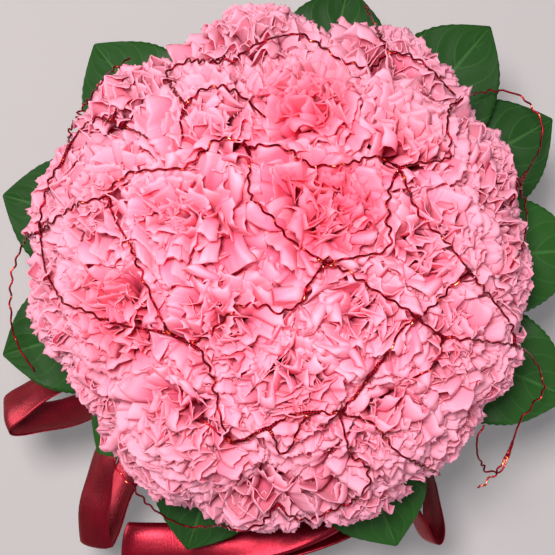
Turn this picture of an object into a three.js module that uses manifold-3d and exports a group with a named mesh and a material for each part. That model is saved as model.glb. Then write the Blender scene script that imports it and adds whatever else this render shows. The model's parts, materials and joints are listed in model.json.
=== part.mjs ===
// A round hand-tied bouquet, standing on the level cut ends of its own spiralled stems: pink
// carnations packed into a dome, a collar of broad leathery leaves, crimped metallic wire netted
// over the blooms, and a satin ribbon bound round the stems and tied in a bow.
// Millimetres, +Z up. The origin is the middle of the central stem's cut end, on the surface that
// the bouquet stands on.

import * as THREE from 'three';
import { mergeVertices } from 'three/addons/utils/BufferGeometryUtils.js';
import Module from 'manifold-3d';

const wasm = await Module();
wasm.setup();

// Stems
const WAIST_HEIGHT = 112; // middle of the binding
const WAIST_SQUEEZE = 0.16; // share of a stem's place in the dome that is left at the binding
const FOOT_SPREAD = 0.5; // the same share at the cut ends
const SPIRAL_TURN = 62; // degrees that the stems turn about the axis between foot and binding
const STEM_RADIUS = 2.2;
const STEM_SIDES = 6;
const FUSED_SPACING = 3.8; // distance between the stems of a bundle that grow together at the waist

// Dome of blooms
const DOME_HEIGHT = 200; // level of the dome's centre
const DOME_RADIUS = 90; // calyx mouths lie on this half ellipsoid: its radius and its rise
const DOME_RISE = 58;
const RIM_SHARE = 0.985; // outer blooms' place, as a share of DOME_RADIUS
const RIM_LEAN = 68; // steepest lean of a bloom's axis from upright, degrees
const BLOOM_RADIUS = 37; // calyx mouth to petal tips
const BLOOM_SIDES = 16;
const BLOOM_GAP = 0.5; // kept between neighbouring blooms
const BLOOM_FLOOR = 178.5; // petals stop here, above the collar
const CALYX_LENGTH = 26;
const CALYX_RADIUS = 6.4;
const SEAT_GAP = 0.3;

// Collar leaves
const LEAF_BASE_RADIUS = 56;
const LEAF_HALF_WIDTH = 30;
const LEAF_THICKNESS = 0.9;
const LEAF_UPPER_LEVEL = 161; // height of the blade's foot, in turn with the lower level
const LEAF_LOWER_LEVEL = 152;
const TWIG_RADIUS = 1.3;
const TWIG_PLACE = 113; // its place in the dome's plan, just outside the outer stems
const TWIG_END_HEIGHT = 90;

// Ribbon
const RIBBON_WIDTH = 25;
const RIBBON_THICKNESS = 0.8;
const KNOT_AZIMUTH = 250;

// Wire, and the photograph's view of it from straight above
const WIRE_RADIUS = 0.6;
const WIRE_LIFT = -0.85; // the petals' tips fall a little short of the bloom's full radius
const WIRE_STEP = 12.5;
const EYE_HEIGHT = 600; // eye above the dome's widest level
const PIXEL_SIZE = 0.49; // millimetres a pixel covers at that level
const AXIS_PIXEL = [282, 275];

const rad = THREE.MathUtils.degToRad;
const vec = (x, y, z) => new THREE.Vector3(x, y, z);
const UP = vec(0, 0, 1);
const polar = (radius, azimuth, z = 0) =>
  vec(radius * Math.cos(rad(azimuth)), radius * Math.sin(rad(azimuth)), z);

const bouquet = new THREE.Group();

function finish(color, roughness, metalness = 0) {
  return new THREE.MeshStandardMaterial({ color, roughness, metalness });
}

function addPiece(name, geometry, material) {
  const mesh = new THREE.Mesh(geometry, material);
  mesh.name = name;
  bouquet.add(mesh);
}

// ---------- Solids from rings ----------

// Closed solid through rings of points that run anticlockwise about its direction of travel.
function loft(rings, first = centreOf(rings[0]), last = centreOf(rings.at(-1))) {
  const sides = rings[0].length;
  const points = [...rings.flat(), first, last];
  const index = [];
  for (let ring = 0; ring < rings.length - 1; ring++) {
    for (let side = 0; side < sides; side++) {
      const a = ring * sides + side;
      const b = ring * sides + ((side + 1) % sides);
      index.push(a, b, b + sides, a, b + sides, a + sides);
    }
  }
  const top = (rings.length - 1) * sides;
  for (let side = 0; side < sides; side++) {
    const next = (side + 1) % sides;
    index.push(rings.length * sides, next, side);
    index.push(rings.length * sides + 1, top + side, top + next);
  }
  const geometry = new THREE.BufferGeometry().setFromPoints(points);
  geometry.setIndex(index);
  return geometry;
}

function centreOf(ring) {
  return ring.reduce((sum, point) => sum.add(point), vec(0, 0, 0)).divideScalar(ring.length);
}

// Ring of points about a centre, square to a direction; level rings lie flat.
function ringAt(centre, direction, radius, sides) {
  const across = vec(1, 0, 0).addScaledVector(direction, -direction.x).normalize();
  const along = direction.clone().cross(across);
  return Array.from({ length: sides }, (_, side) => {
    const turn = (2 * Math.PI * side) / sides;
    return centre
      .clone()
      .addScaledVector(across, radius * Math.cos(turn))
      .addScaledVector(along, radius * Math.sin(turn));
  });
}

// One solid out of several that run into each other.
function fuse(geometries) {
  const solids = geometries.map((geometry) => {
    const bare = geometry.clone();
    bare.deleteAttribute('normal');
    bare.deleteAttribute('uv');
    const merged = mergeVertices(bare, 1e-4);
    return new wasm.Manifold(
      new wasm.Mesh({
        numProp: 3,
        vertProperties: new Float32Array(merged.attributes.position.array),
        triVerts: new Uint32Array(merged.index.array),
      }),
    );
  });
  const mesh = solids.reduce((whole, solid) => whole.add(solid)).getMesh();
  const geometry = new THREE.BufferGeometry();
  geometry.setAttribute('position', new THREE.BufferAttribute(mesh.vertProperties, 3));
  geometry.setIndex(new THREE.BufferAttribute(mesh.triVerts, 1));
  return geometry;
}

// ---------- Where each flower stands in the dome ----------

// Calyx mouths in plan. The outer ring is given by azimuth and by how far the press of its
// neighbours moves the bloom outwards of its stem's place.
const flowers = [
  { name: 'crown_1', plan: [-36, 21] },
  { name: 'crown_2', plan: [16, 25] },
  { name: 'crown_3', plan: [-22, -21], slot: [0, 0] },
  { name: 'crown_4', plan: [5, -42] },
  { name: 'crown_5', plan: [33, -17] },
  { name: 'shoulder_1', plan: [11, 62] },
  { name: 'shoulder_2', plan: [-29, 57] },
  { name: 'shoulder_3', plan: [47, 52] },
  { name: 'shoulder_4', plan: [56, 13] },
  { name: 'shoulder_5', plan: [62, -26] },
  { name: 'shoulder_6', plan: [37, -58] },
  { name: 'shoulder_7', plan: [-36, -56] },
  { name: 'shoulder_8', plan: [-61, -15] },
  { name: 'shoulder_9', plan: [-64, 25] },
  ...[
    [97, 6],
    [62, 7],
    [29, 0],
    [2, -4],
    [-24, -3],
    [-47, -4],
    [-71, 0],
    [-96, 0],
    [-122, -2],
    [-149, -10],
    [-174, -2],
    [160, 1],
    [132, 1],
  ].map(([azimuth, push], place) => {
    const point = polar(DOME_RADIUS * RIM_SHARE, azimuth);
    return { name: `rim_${place + 1}`, plan: [point.x, point.y], push };
  }),
];

for (const flower of flowers) {
  const [x, y] = flower.plan;
  const lean = Math.asin(Math.hypot(x, y) / DOME_RADIUS);
  flower.calyx = vec(x, y, DOME_HEIGHT + DOME_RISE * Math.cos(lean));
  flower.axis = vec(x / DOME_RADIUS ** 2, y / DOME_RADIUS ** 2, Math.cos(lean) / DOME_RISE).normalize();
  const steepest = rad(RIM_LEAN);
  if (flower.axis.angleTo(UP) > steepest) {
    const side = vec(x, y, 0).normalize();
    flower.axis = side.multiplyScalar(Math.sin(steepest)).add(vec(0, 0, Math.cos(steepest)));
  }
  flower.calyx.addScaledVector(vec(x, y, 0).normalize(), flower.push ?? 0);
  flower.slot = vec(...(flower.slot ?? flower.plan), 0);
}

// Furthest that a petal may reach along a direction before it meets a neighbour or the collar.
function roomAlong(flower, direction) {
  let room = BLOOM_RADIUS;
  for (const other of flowers) {
    const apart = other.calyx.clone().sub(flower.calyx);
    const distance = apart.length();
    const towards = direction.dot(apart) / distance;
    if (towards > 0) {
      room = Math.min(room, (distance - BLOOM_GAP) / 2 / towards);
    }
  }
  if (direction.z < 0) {
    room = Math.min(room, (BLOOM_FLOOR - flower.calyx.z) / direction.z);
  }
  return room;
}

// ---------- Blooms ----------

// Layers of petals from the outermost inwards: each toothed rim stands out above the fold behind
// it. Angle from the bloom's axis, reach as a share of the bloom's radius, petals in the layer.
const petalRows = [
  { angle: 95, reach: 1.0, petals: 5 },
  { angle: 82, reach: 0.8 },
  { angle: 74, reach: 0.99, petals: 5 },
  { angle: 58, reach: 0.79 },
  { angle: 49, reach: 0.98, petals: 4 },
  { angle: 33, reach: 0.78 },
  { angle: 23, reach: 0.96, petals: 3 },
];
const HEART_REACH = 0.76; // hollow in the middle of the bloom
const NECK_RADIUS = 7.5; // petals close here, just over the calyx
const NOTCH_DEPTH = 0.13;
const RUFFLE = 4; // degrees

const petalPink = finish(0xf6b4c8, 0.7);

function bloomSolid(flower, seed) {
  THREE.MathUtils.seededRandom(seed);
  const random = THREE.MathUtils.seededRandom;
  const across = vec(0, 0, 1).cross(flower.axis).normalize();
  const along = flower.axis.clone().cross(across);
  const spin = 2 * Math.PI * random();
  const neck = ringAt(flower.calyx, flower.axis, NECK_RADIUS, BLOOM_SIDES);
  const neckAcross = neck[0].clone().sub(flower.calyx);
  const start = Math.atan2(neckAcross.dot(along), neckAcross.dot(across));

  const rings = petalRows.map(({ angle, reach, petals }, row) =>
    Array.from({ length: BLOOM_SIDES }, (_, side) => {
      const turn = start + (2 * Math.PI * side) / BLOOM_SIDES;
      let lean = rad(angle);
      let share = reach - 0.03 * random();
      if (petals) {
        const withinPetal = ((turn + spin + row) * petals) / (2 * Math.PI);
        const edge = Math.abs(withinPetal - Math.round(withinPetal)) * 2;
        share -= NOTCH_DEPTH * Math.max(0, 1 - edge * 2.2);
        lean += rad(RUFFLE) * (side % 2 ? 1 : -1) * (0.5 + 0.5 * random());
      }
      const direction = flower.axis
        .clone()
        .multiplyScalar(Math.cos(lean))
        .addScaledVector(across, Math.sin(lean) * Math.cos(turn))
        .addScaledVector(along, Math.sin(lean) * Math.sin(turn));
      const reached = Math.min(share * BLOOM_RADIUS, roomAlong(flower, direction));
      return flower.calyx.clone().addScaledVector(direction, reached);
    }),
  );
  const heart = flower.calyx.clone().addScaledVector(flower.axis, HEART_REACH * BLOOM_RADIUS);
  return loft([neck, ...rings], flower.calyx.clone(), heart);
}

flowers.forEach((flower, place) => {
  addPiece(`bloom_${flower.name}`, bloomSolid(flower, 100 + place), petalPink);
});

// ---------- Stems ----------

// Place of a slot at a share of the way from the cut ends (0) to the waist (1): the whole plan
// shrinks and turns together, so that the stems spiral past each other without touching.
function spiralled(slot, share) {
  const foot = slot.clone().applyAxisAngle(UP, rad(-SPIRAL_TURN)).multiplyScalar(FOOT_SPREAD);
  const waist = slot.clone().multiplyScalar(WAIST_SQUEEZE);
  return foot.lerp(waist, share).setZ(WAIST_HEIGHT * share);
}

// Longest hop of the shortest chain that joins all the places.
function longestHop(places) {
  const joined = [places[0]];
  const waiting = places.slice(1);
  let longest = 0;
  while (waiting.length) {
    const hops = waiting.map((place) => Math.min(...joined.map((other) => other.distanceTo(place))));
    const nearest = hops.indexOf(Math.min(...hops));
    longest = Math.max(longest, hops[nearest]);
    joined.push(...waiting.splice(nearest, 1));
  }
  return longest;
}

// Curve that leaves the waist along the stem's own lean and arrives square to the calyx.
function upperRun(foot, waist, end, heading, startPull, endPull) {
  const lean = waist.clone().sub(foot).normalize();
  return new THREE.CubicBezierCurve3(
    waist,
    waist.clone().addScaledVector(lean, startPull),
    end.clone().addScaledVector(heading, -endPull),
    end,
  );
}

const stemGreen = finish(0x7f9a63, 0.6);

function stemSolid(flower, waist) {
  const foot = spiralled(flower.slot, 0);
  const base = flower.calyx.clone().addScaledVector(flower.axis, -CALYX_LENGTH - SEAT_GAP);
  const upper = upperRun(foot, waist, base, flower.axis, 36, 30);
  const lean = waist.clone().sub(foot).normalize();
  const onCalyx = (height) => base.clone().addScaledVector(flower.axis, height);
  const ring = (centre, direction, radius) => ringAt(centre, direction, radius, STEM_SIDES);
  return loft([
    ring(foot, UP, STEM_RADIUS),
    ring(foot.clone().lerp(waist, 0.45), lean, STEM_RADIUS * 1.3),
    ring(waist, lean, STEM_RADIUS),
    ring(upper.getPoint(0.36), upper.getTangent(0.36), STEM_RADIUS),
    ring(upper.getPoint(0.7), upper.getTangent(0.7), STEM_RADIUS),
    ring(base, flower.axis, STEM_RADIUS),
    ring(onCalyx(CALYX_LENGTH * 0.22), flower.axis, CALYX_RADIUS * 0.85),
    ring(onCalyx(CALYX_LENGTH), flower.axis, CALYX_RADIUS),
  ]);
}

// Neighbouring flowers whose stems grow into one bundle at the waist.
const bundles = [
  ['crown_3', 'crown_1', 'shoulder_8'],
  ['shoulder_9', 'rim_12', 'rim_11'],
  ['shoulder_2', 'rim_13', 'rim_1'],
  ['shoulder_1', 'crown_2'],
  ['shoulder_3', 'rim_2', 'rim_3'],
  ['shoulder_4', 'crown_5', 'rim_4'],
  ['shoulder_5', 'rim_5', 'rim_6'],
  ['shoulder_6', 'rim_7', 'crown_4'],
  ['shoulder_7', 'rim_9', 'rim_8', 'rim_10'],
];

bundles.forEach((names, place) => {
  const members = names.map((name) => flowers.find((flower) => flower.name === name));
  const waists = members.map((flower) => spiralled(flower.slot, 1));
  const middle = centreOf(waists);
  const pull = Math.max(0, 1 - FUSED_SPACING / longestHop(waists));
  const solids = members.map((flower, member) =>
    stemSolid(flower, waists[member].clone().lerp(middle, pull)),
  );
  addPiece(`stems_${place + 1}`, fuse(solids), stemGreen);
});

// ---------- Collar leaves ----------

// Azimuth of each leaf, azimuth at which its twig passes the waist between two outer stems, and
// length of its blade. The leaves lie in turn on the upper and the lower level.
const leaves = [
  { azimuth: 5, twig: 349, length: 104 },
  { azimuth: 30, twig: 15.5, length: 112 },
  { azimuth: 50, twig: 45.5, length: 116 },
  { azimuth: 77, twig: 79.5, length: 104 },
  { azimuth: 103, twig: 114.5, length: 78 },
  { azimuth: 129, twig: 146, length: 104 },
  { azimuth: 164, twig: 173, length: 98 },
  { azimuth: 196, twig: 198.5, length: 100 },
  { azimuth: 224, twig: 224.5, length: 80 },
  { azimuth: 251, twig: 251, length: 100 },
  { azimuth: 293, twig: 301, length: 100 },
  { azimuth: 337, twig: 324.5, length: 112 },
];
// Half width along the blade, as a share, with its short drawn-out tip.
const bladeOutline = [
  [0, 0.07],
  [0.1, 0.6],
  [0.27, 0.95],
  [0.47, 1],
  [0.67, 0.86],
  [0.85, 0.5],
  [0.94, 0.16],
  [1, 0.03],
];
const bladeColumns = [-1, -0.52, 0, 0.52, 1];
const BASE_CLIMB = 22; // degrees above level at the blade's foot
const TIP_DROP = 14; // degrees below level at the tip
const V_FOLD = 0.1;
const EDGE_WAVE = 1.1;

const leafGreen = finish(0x1f4420, 0.45);

// Blade along +X from the origin, arched in its length and folded a little along its midrib.
function bladeSolid(length, halfWidth) {
  const spine = bladeOutline.map(([share]) => {
    const steps = 12;
    const point = vec(0, 0, 0);
    for (let step = 0; step < steps; step++) {
      const climb = rad(THREE.MathUtils.lerp(BASE_CLIMB, -TIP_DROP, (share * (step + 0.5)) / steps));
      point.x += ((length * share) / steps) * Math.cos(climb);
      point.z += ((length * share) / steps) * Math.sin(climb);
    }
    return point;
  });
  const face = (offset) =>
    bladeOutline.flatMap(([, width], row) =>
      bladeColumns.map((column) => {
        const y = column * width * halfWidth;
        const atEdge = Math.abs(column) === 1 ? 1 : 0;
        const wave = EDGE_WAVE * atEdge * width * (row % 2 ? 1 : -1);
        return vec(spine[row].x, y, spine[row].z + V_FOLD * Math.abs(y) + wave + offset);
      }),
    );
  return sheetSolid(face(LEAF_THICKNESS / 2), face(-LEAF_THICKNESS / 2), bladeColumns.length);
}

// Thin solid between two alike grids of points, both split along the same diagonals.
function sheetSolid(upper, lower, columns) {
  const rows = upper.length / columns;
  const under = upper.length;
  const index = [];
  for (let row = 0; row < rows - 1; row++) {
    for (let column = 0; column < columns - 1; column++) {
      const a = row * columns + column;
      const b = a + columns;
      index.push(a, b, b + 1, a, b + 1, a + 1);
      index.push(under + a, under + b + 1, under + b, under + a, under + a + 1, under + b + 1);
    }
  }
  const border = [];
  for (let row = 0; row < rows - 1; row++) border.push(row * columns);
  for (let column = 0; column < columns - 1; column++) border.push((rows - 1) * columns + column);
  for (let row = rows - 1; row > 0; row--) border.push(row * columns + columns - 1);
  for (let column = columns - 1; column > 0; column--) border.push(column);
  border.forEach((a, place) => {
    const b = border[(place + 1) % border.length];
    index.push(a, under + a, under + b, a, under + b, b);
  });
  const geometry = new THREE.BufferGeometry().setFromPoints([...upper, ...lower]);
  geometry.setIndex(index);
  return geometry;
}

leaves.forEach(({ azimuth, twig: twigAzimuth, length }, place) => {
  const level = place % 2 ? LEAF_LOWER_LEVEL : LEAF_UPPER_LEVEL;
  const slot = polar(TWIG_PLACE, twigAzimuth);
  const waist = spiralled(slot, 1);
  const end = spiralled(slot, TWIG_END_HEIGHT / WAIST_HEIGHT);
  const foot = polar(LEAF_BASE_RADIUS, azimuth, level);
  const heading = polar(Math.cos(rad(BASE_CLIMB)), azimuth, Math.sin(rad(BASE_CLIMB)));
  const run = upperRun(end, waist, foot, heading, 30, 24);
  const ring = (centre, direction, radius) => ringAt(centre, direction, radius, 4);
  const twig = loft([
    ring(end, UP, TWIG_RADIUS),
    ring(waist, waist.clone().sub(end).normalize(), TWIG_RADIUS),
    ...[0.16, 0.42, 0.72].map((share) =>
      ring(run.getPoint(share), run.getTangent(share), TWIG_RADIUS),
    ),
    ring(foot, heading, TWIG_RADIUS),
    ring(foot.clone().addScaledVector(heading, 12), heading, TWIG_RADIUS * 0.55),
  ]);
  const blade = bladeSolid(length, LEAF_HALF_WIDTH * (length > 90 ? 1 : 0.8));
  blade.rotateZ(rad(azimuth)).translate(foot.x, foot.y, foot.z);
  addPiece(`leaf_${place + 1}`, fuse([twig, blade]), leafGreen);
});

// ---------- Ribbon ----------

const satinRed = finish(0x8e0f1c, 0.35);

// Band of ribbon drawn tight round the waist, narrower in the middle than at its edges.
function bandSolid() {
  const inner = 19.9;
  const flare = 2.6;
  const half = RIBBON_WIDTH / 2;
  const heights = [-half, -half / 3, half / 3, half];
  const radii = heights.map((height) => inner + flare * (height / half) ** 2);
  const profile = [
    ...heights.map((height, place) => new THREE.Vector2(radii[place] + RIBBON_THICKNESS, height)),
    ...heights.map((height, place) => new THREE.Vector2(radii[place], height)).reverse(),
  ];
  profile.push(profile[0].clone());
  const band = new THREE.LatheGeometry(profile, 20);
  band.rotateX(Math.PI / 2).translate(0, 0, WAIST_HEIGHT);
  return fuse([band]);
}
addPiece('ribbon_band', bandSolid(), satinRed);

// Knot: a plump bundle with three folds pressed into its face.
const knotHalf = vec(6, 11, 12.5);
const knotCentre = polar(26.9, KNOT_AZIMUTH, WAIST_HEIGHT);
function knotSolid() {
  const knot = new THREE.SphereGeometry(1, 12, 8).rotateX(Math.PI / 2);
  const place = knot.attributes.position;
  const point = vec(0, 0, 0);
  for (let vertex = 0; vertex < place.count; vertex++) {
    point.fromBufferAttribute(place, vertex);
    const crease = 1 - 0.12 * (0.5 + 0.5 * Math.cos(point.z * 9)) * Math.abs(point.x);
    point.multiply(knotHalf).multiplyScalar(crease);
    place.setXYZ(vertex, point.x, point.y, point.z);
  }
  knot.rotateZ(rad(KNOT_AZIMUTH)).translate(knotCentre.x, knotCentre.y, knotCentre.z);
  return fuse([knot]);
}
addPiece('ribbon_knot', knotSolid(), satinRed);

const outOfKnot = polar(1, KNOT_AZIMUTH);
const alongKnot = polar(1, KNOT_AZIMUTH + 90);
const onKnot = (out, along, up) =>
  knotCentre
    .clone()
    .addScaledVector(outOfKnot, out)
    .addScaledVector(alongKnot, along)
    .setZ(WAIST_HEIGHT + up);

// Strip of ribbon along centres, with its width along a direction that may turn on the way.
function stripSolid(stations) {
  const rings = stations.map(({ centre, across, facing, width }) =>
    [
      [1, 1],
      [-1, 1],
      [-1, -1],
      [1, -1],
    ].map(([side, face]) =>
      centre
        .clone()
        .addScaledVector(across, (side * width) / 2)
        .addScaledVector(facing, (face * RIBBON_THICKNESS) / 2),
    ),
  );
  return loft(rings);
}

// Loop: out along its spine on one ply, round the end and back on the other.
const LOOP_STEPS = 15;
const PLY_START = 16; // degrees of the loop's turn that its ends stop short of the knot
function loopSolid({ root, reach, bend, tip, acrossAtRoot, acrossAtTip, halfGap }) {
  const spine = new THREE.CubicBezierCurve3(root, reach, bend, tip);
  const stations = Array.from({ length: LOOP_STEPS }, (_, step) => {
    const turn = rad(THREE.MathUtils.lerp(PLY_START, 360 - PLY_START, step / (LOOP_STEPS - 1)));
    const outward = Math.sin(turn / 2) ** 2;
    const side = Math.sin(turn) * Math.sqrt(Math.sin(turn / 2));
    const heading = spine.getTangent(outward);
    const across = acrossAtRoot.clone().lerp(acrossAtTip, outward);
    across.addScaledVector(heading, -across.dot(heading)).normalize();
    const rise = across.clone().cross(heading);
    const width = RIBBON_WIDTH * Math.min(1, 0.34 + 2.4 * outward);
    return { centre: spine.getPoint(outward).addScaledVector(rise, halfGap * side), across, width };
  });
  stations.forEach((station, step) => {
    const before = stations[Math.max(0, step - 1)].centre;
    const after = stations[Math.min(LOOP_STEPS - 1, step + 1)].centre;
    station.facing = after.clone().sub(before).normalize().cross(station.across).normalize();
  });
  return stripSolid(stations);
}

const loops = {
  left: {
    root: onKnot(0, -7.2, 6.5),
    reach: vec(-55, -30, 134),
    bend: vec(-92, -60, 136),
    tip: vec(-151, -78, 138),
    acrossAtRoot: vec(0, 0, -1),
    acrossAtTip: vec(-0.4, 0.58, -0.7),
    halfGap: 17,
  },
  lower_left: {
    root: onKnot(0, -7.8, -6.5),
    reach: vec(-58, -46, 96),
    bend: vec(-98, -84, 100),
    tip: vec(-106, -156, 108),
    acrossAtRoot: vec(0, 0, -1),
    acrossAtTip: vec(-0.79, 0.11, -0.6),
    halfGap: 12,
  },
  front: {
    root: onKnot(0, 3.9, -6.5),
    reach: vec(92, -92, 98),
    bend: vec(74, -160, 122),
    tip: vec(-88, -150, 128),
    acrossAtRoot: vec(0, 0, 1),
    acrossAtTip: vec(0, -1, 0.1),
    halfGap: 12,
  },
  right: {
    root: onKnot(0, 7.3, 6.5),
    reach: vec(40, -52, 124),
    bend: vec(72, -92, 138),
    tip: vec(82, -146, 134),
    acrossAtRoot: vec(0, 0, 1),
    acrossAtTip: vec(0.3, 0.1, 0.95),
    halfGap: 11,
  },
};
for (const [name, loop] of Object.entries(loops)) {
  addPiece(`ribbon_loop_${name}`, loopSolid(loop), satinRed);
}

// Tails: from under the knot, over the flaring stems and down.
const TAIL_STEPS = 8;
const tails = {
  left: { from: -4, azimuth: 236, reach: 66, lowest: 34 },
  right: { from: 4, azimuth: 268, reach: 62, lowest: 24 },
};
for (const [name, { from, azimuth, reach, lowest }] of Object.entries(tails)) {
  const start = onKnot(1.5, from, -11.3);
  const end = polar(reach, azimuth, lowest);
  const path = new THREE.CubicBezierCurve3(
    start,
    polar(40, azimuth, WAIST_HEIGHT - 26),
    polar(reach - 10, azimuth, lowest + 34),
    end,
  );
  const stations = Array.from({ length: TAIL_STEPS }, (_, step) => {
    const share = step / (TAIL_STEPS - 1);
    const heading = path.getTangent(share);
    const across = polar(1, azimuth + 90);
    across.addScaledVector(heading, -across.dot(heading)).normalize();
    const width = RIBBON_WIDTH * Math.min(1, 0.26 + 1.8 * share);
    return { centre: path.getPoint(share), across, width, facing: heading.clone().cross(across) };
  });
  addPiece(`ribbon_tail_${name}`, stripSolid(stations), satinRed);
}

// ---------- Wire over the blooms ----------

// Height at which a wire lies: on the blooms, and beyond them sinking towards the collar.
function wireHeight(x, y) {
  const radius = BLOOM_RADIUS + WIRE_LIFT + WIRE_RADIUS;
  let height = 0;
  let outside = Infinity;
  for (const { calyx } of flowers) {
    const distance = Math.hypot(x - calyx.x, y - calyx.y);
    outside = Math.min(outside, distance - radius);
    if (distance < radius) {
      height = Math.max(height, calyx.z + Math.sqrt(radius ** 2 - distance ** 2));
    }
  }
  const rimHeight = DOME_HEIGHT + DOME_RISE * Math.sqrt(1 - RIM_SHARE ** 2);
  return height || Math.max(BLOOM_FLOOR + 3, rimHeight - 1.2 * outside);
}

// Place on the bouquet of a point seen in the photograph.
function fromPhoto([u, v]) {
  const level = DOME_HEIGHT + DOME_RISE * Math.sqrt(1 - RIM_SHARE ** 2);
  let place = vec(0, 0, level);
  for (let round = 0; round < 12; round++) {
    const scale = (PIXEL_SIZE * (EYE_HEIGHT + level - place.z)) / EYE_HEIGHT;
    const x = (u - AXIS_PIXEL[0]) * scale;
    const y = (AXIS_PIXEL[1] - v) * scale;
    place = vec(x, y, (place.z + wireHeight(x, y)) / 2);
  }
  return place.setZ(wireHeight(place.x, place.y));
}

// Strands of wire, read off the photograph in its pixels. Strands of one net share end points.
const wireNets = {
  crown: [
    [
      [40, 232], [42, 250], [45, 270], [55, 290], [65, 305], [85, 310], [100, 318], [120, 325],
      [150, 330], [168, 333], [190, 343], [200, 350], [212, 375], [217, 400], [222, 425], [232, 443],
      [245, 440], [258, 432], [268, 428], [290, 415], [310, 412], [340, 413], [352, 400], [375, 370],
      [390, 350], [400, 330], [418, 318], [440, 300], [450, 288], [470, 272], [482, 287], [495, 302],
      [512, 325], [515, 345],
    ],
    [
      [62, 163], [52, 175], [45, 195], [40, 215], [40, 232], [60, 215], [80, 203], [108, 196],
      [112, 185], [130, 172], [150, 170], [185, 168], [205, 150], [215, 140], [235, 138], [248, 148],
      [250, 165], [248, 185], [252, 200], [270, 215], [285, 235], [300, 247], [325, 263], [345, 270],
      [365, 283], [385, 297], [400, 305], [418, 318], [430, 328], [443, 337], [475, 340], [515, 345],
    ],
    [
      [108, 196], [115, 220], [130, 245], [140, 270], [150, 295], [168, 333], [190, 343], [210, 335],
      [225, 318], [240, 305], [260, 305], [280, 313], [300, 305], [308, 285], [325, 263], [350, 258],
      [385, 252], [392, 240], [388, 225], [388, 205], [390, 185], [400, 168], [405, 180], [414, 205],
      [425, 222], [445, 240], [460, 258], [470, 272],
    ],
    [
      [248, 148], [270, 144], [290, 150], [308, 165], [335, 166], [355, 162], [375, 155], [400, 168],
      [415, 163], [435, 162], [450, 158], [450, 140], [447, 125], [450, 105], [462, 100], [475, 93],
      [500, 90], [520, 95], [535, 110], [543, 125], [540, 150], [525, 175], [515, 182], [525, 200],
      [527, 220], [524, 245], [510, 268],
    ],
    [[525, 175], [518, 190], [510, 205]],
    [[62, 163], [68, 148], [70, 130], [85, 105], [106, 75], [130, 58]],
    [
      [40, 232], [28, 235], [20, 250], [12, 272], [10, 300], [12, 330], [20, 350], [35, 372],
    ],
    [
      [515, 345], [528, 352], [539, 367], [545, 390], [533, 405], [520, 420], [510, 450], [495, 475],
      [478, 488],
    ],
    [[443, 337], [440, 355], [430, 370], [413, 378]],
    [[232, 443], [215, 430], [200, 418]],
    [[268, 428], [276, 440], [278, 455], [290, 450], [300, 425], [310, 412]],
    [[340, 413], [372, 422], [400, 455], [425, 467], [440, 475]],
    [
      [340, 413], [345, 435], [350, 455], [367, 465], [370, 480], [362, 495], [345, 505], [310, 520],
      [290, 517], [278, 503],
    ],
  ],
  back: [
    [[183, 138], [180, 120], [185, 105], [200, 90], [220, 86], [240, 93], [255, 108], [265, 117]],
    [[185, 105], [172, 88], [165, 72], [187, 60], [210, 62], [235, 60], [250, 47], [275, 37],
      [300, 33], [320, 45], [340, 60], [372, 70], [388, 52], [410, 55], [430, 68], [445, 85],
      [455, 95]],
    [[388, 52], [375, 25], [365, 5]],
  ],
};
const wireRed = finish(0x6d0f17, 0.35, 0.8);

// Tube through the strand's points, with more points where it drops steeply.
function strandSolid(pixels) {
  const points = [];
  const addUpTo = (from, to) => {
    if (from.distanceTo(to) > WIRE_STEP) {
      const middle = from.clone().lerp(to, 0.5);
      middle.z = wireHeight(middle.x, middle.y);
      addUpTo(from, middle);
      addUpTo(middle, to);
    } else {
      points.push(to);
    }
  };
  const seen = pixels.map(fromPhoto);
  points.push(seen[0]);
  for (let place = 1; place < seen.length; place++) addUpTo(seen[place - 1], seen[place]);
  const rings = points.map((point, place) => {
    const before = points[Math.max(0, place - 1)];
    const after = points[Math.min(points.length - 1, place + 1)];
    const heading = after.clone().sub(before).normalize();
    const across = heading.clone().cross(UP).normalize();
    const above = across.clone().cross(heading);
    return [90, 210, 330].map((angle) =>
      point
        .clone()
        .addScaledVector(across, WIRE_RADIUS * Math.cos(rad(angle)))
        .addScaledVector(above, WIRE_RADIUS * Math.sin(rad(angle))),
    );
  });
  return loft(rings.map((ring) => ring.reverse()));
}

for (const [name, strands] of Object.entries(wireNets)) {
  addPiece(`wire_${name}`, fuse(strands.map(strandSolid)), wireRed);
}

export default bouquet;
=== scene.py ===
"""A round hand-tied bouquet of pink carnations, standing on its spiralled, level-cut stems.

The pieces follow the order in which the bouquet is put together: stems, collar of leaves, blooms,
crimped wire and ribbon. Shapes are worked out in millimetres and become metres in their meshes.
"""
import json
import math

import bpy
import numpy as np
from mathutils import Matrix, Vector
from mathutils.bvhtree import BVHTree

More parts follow.
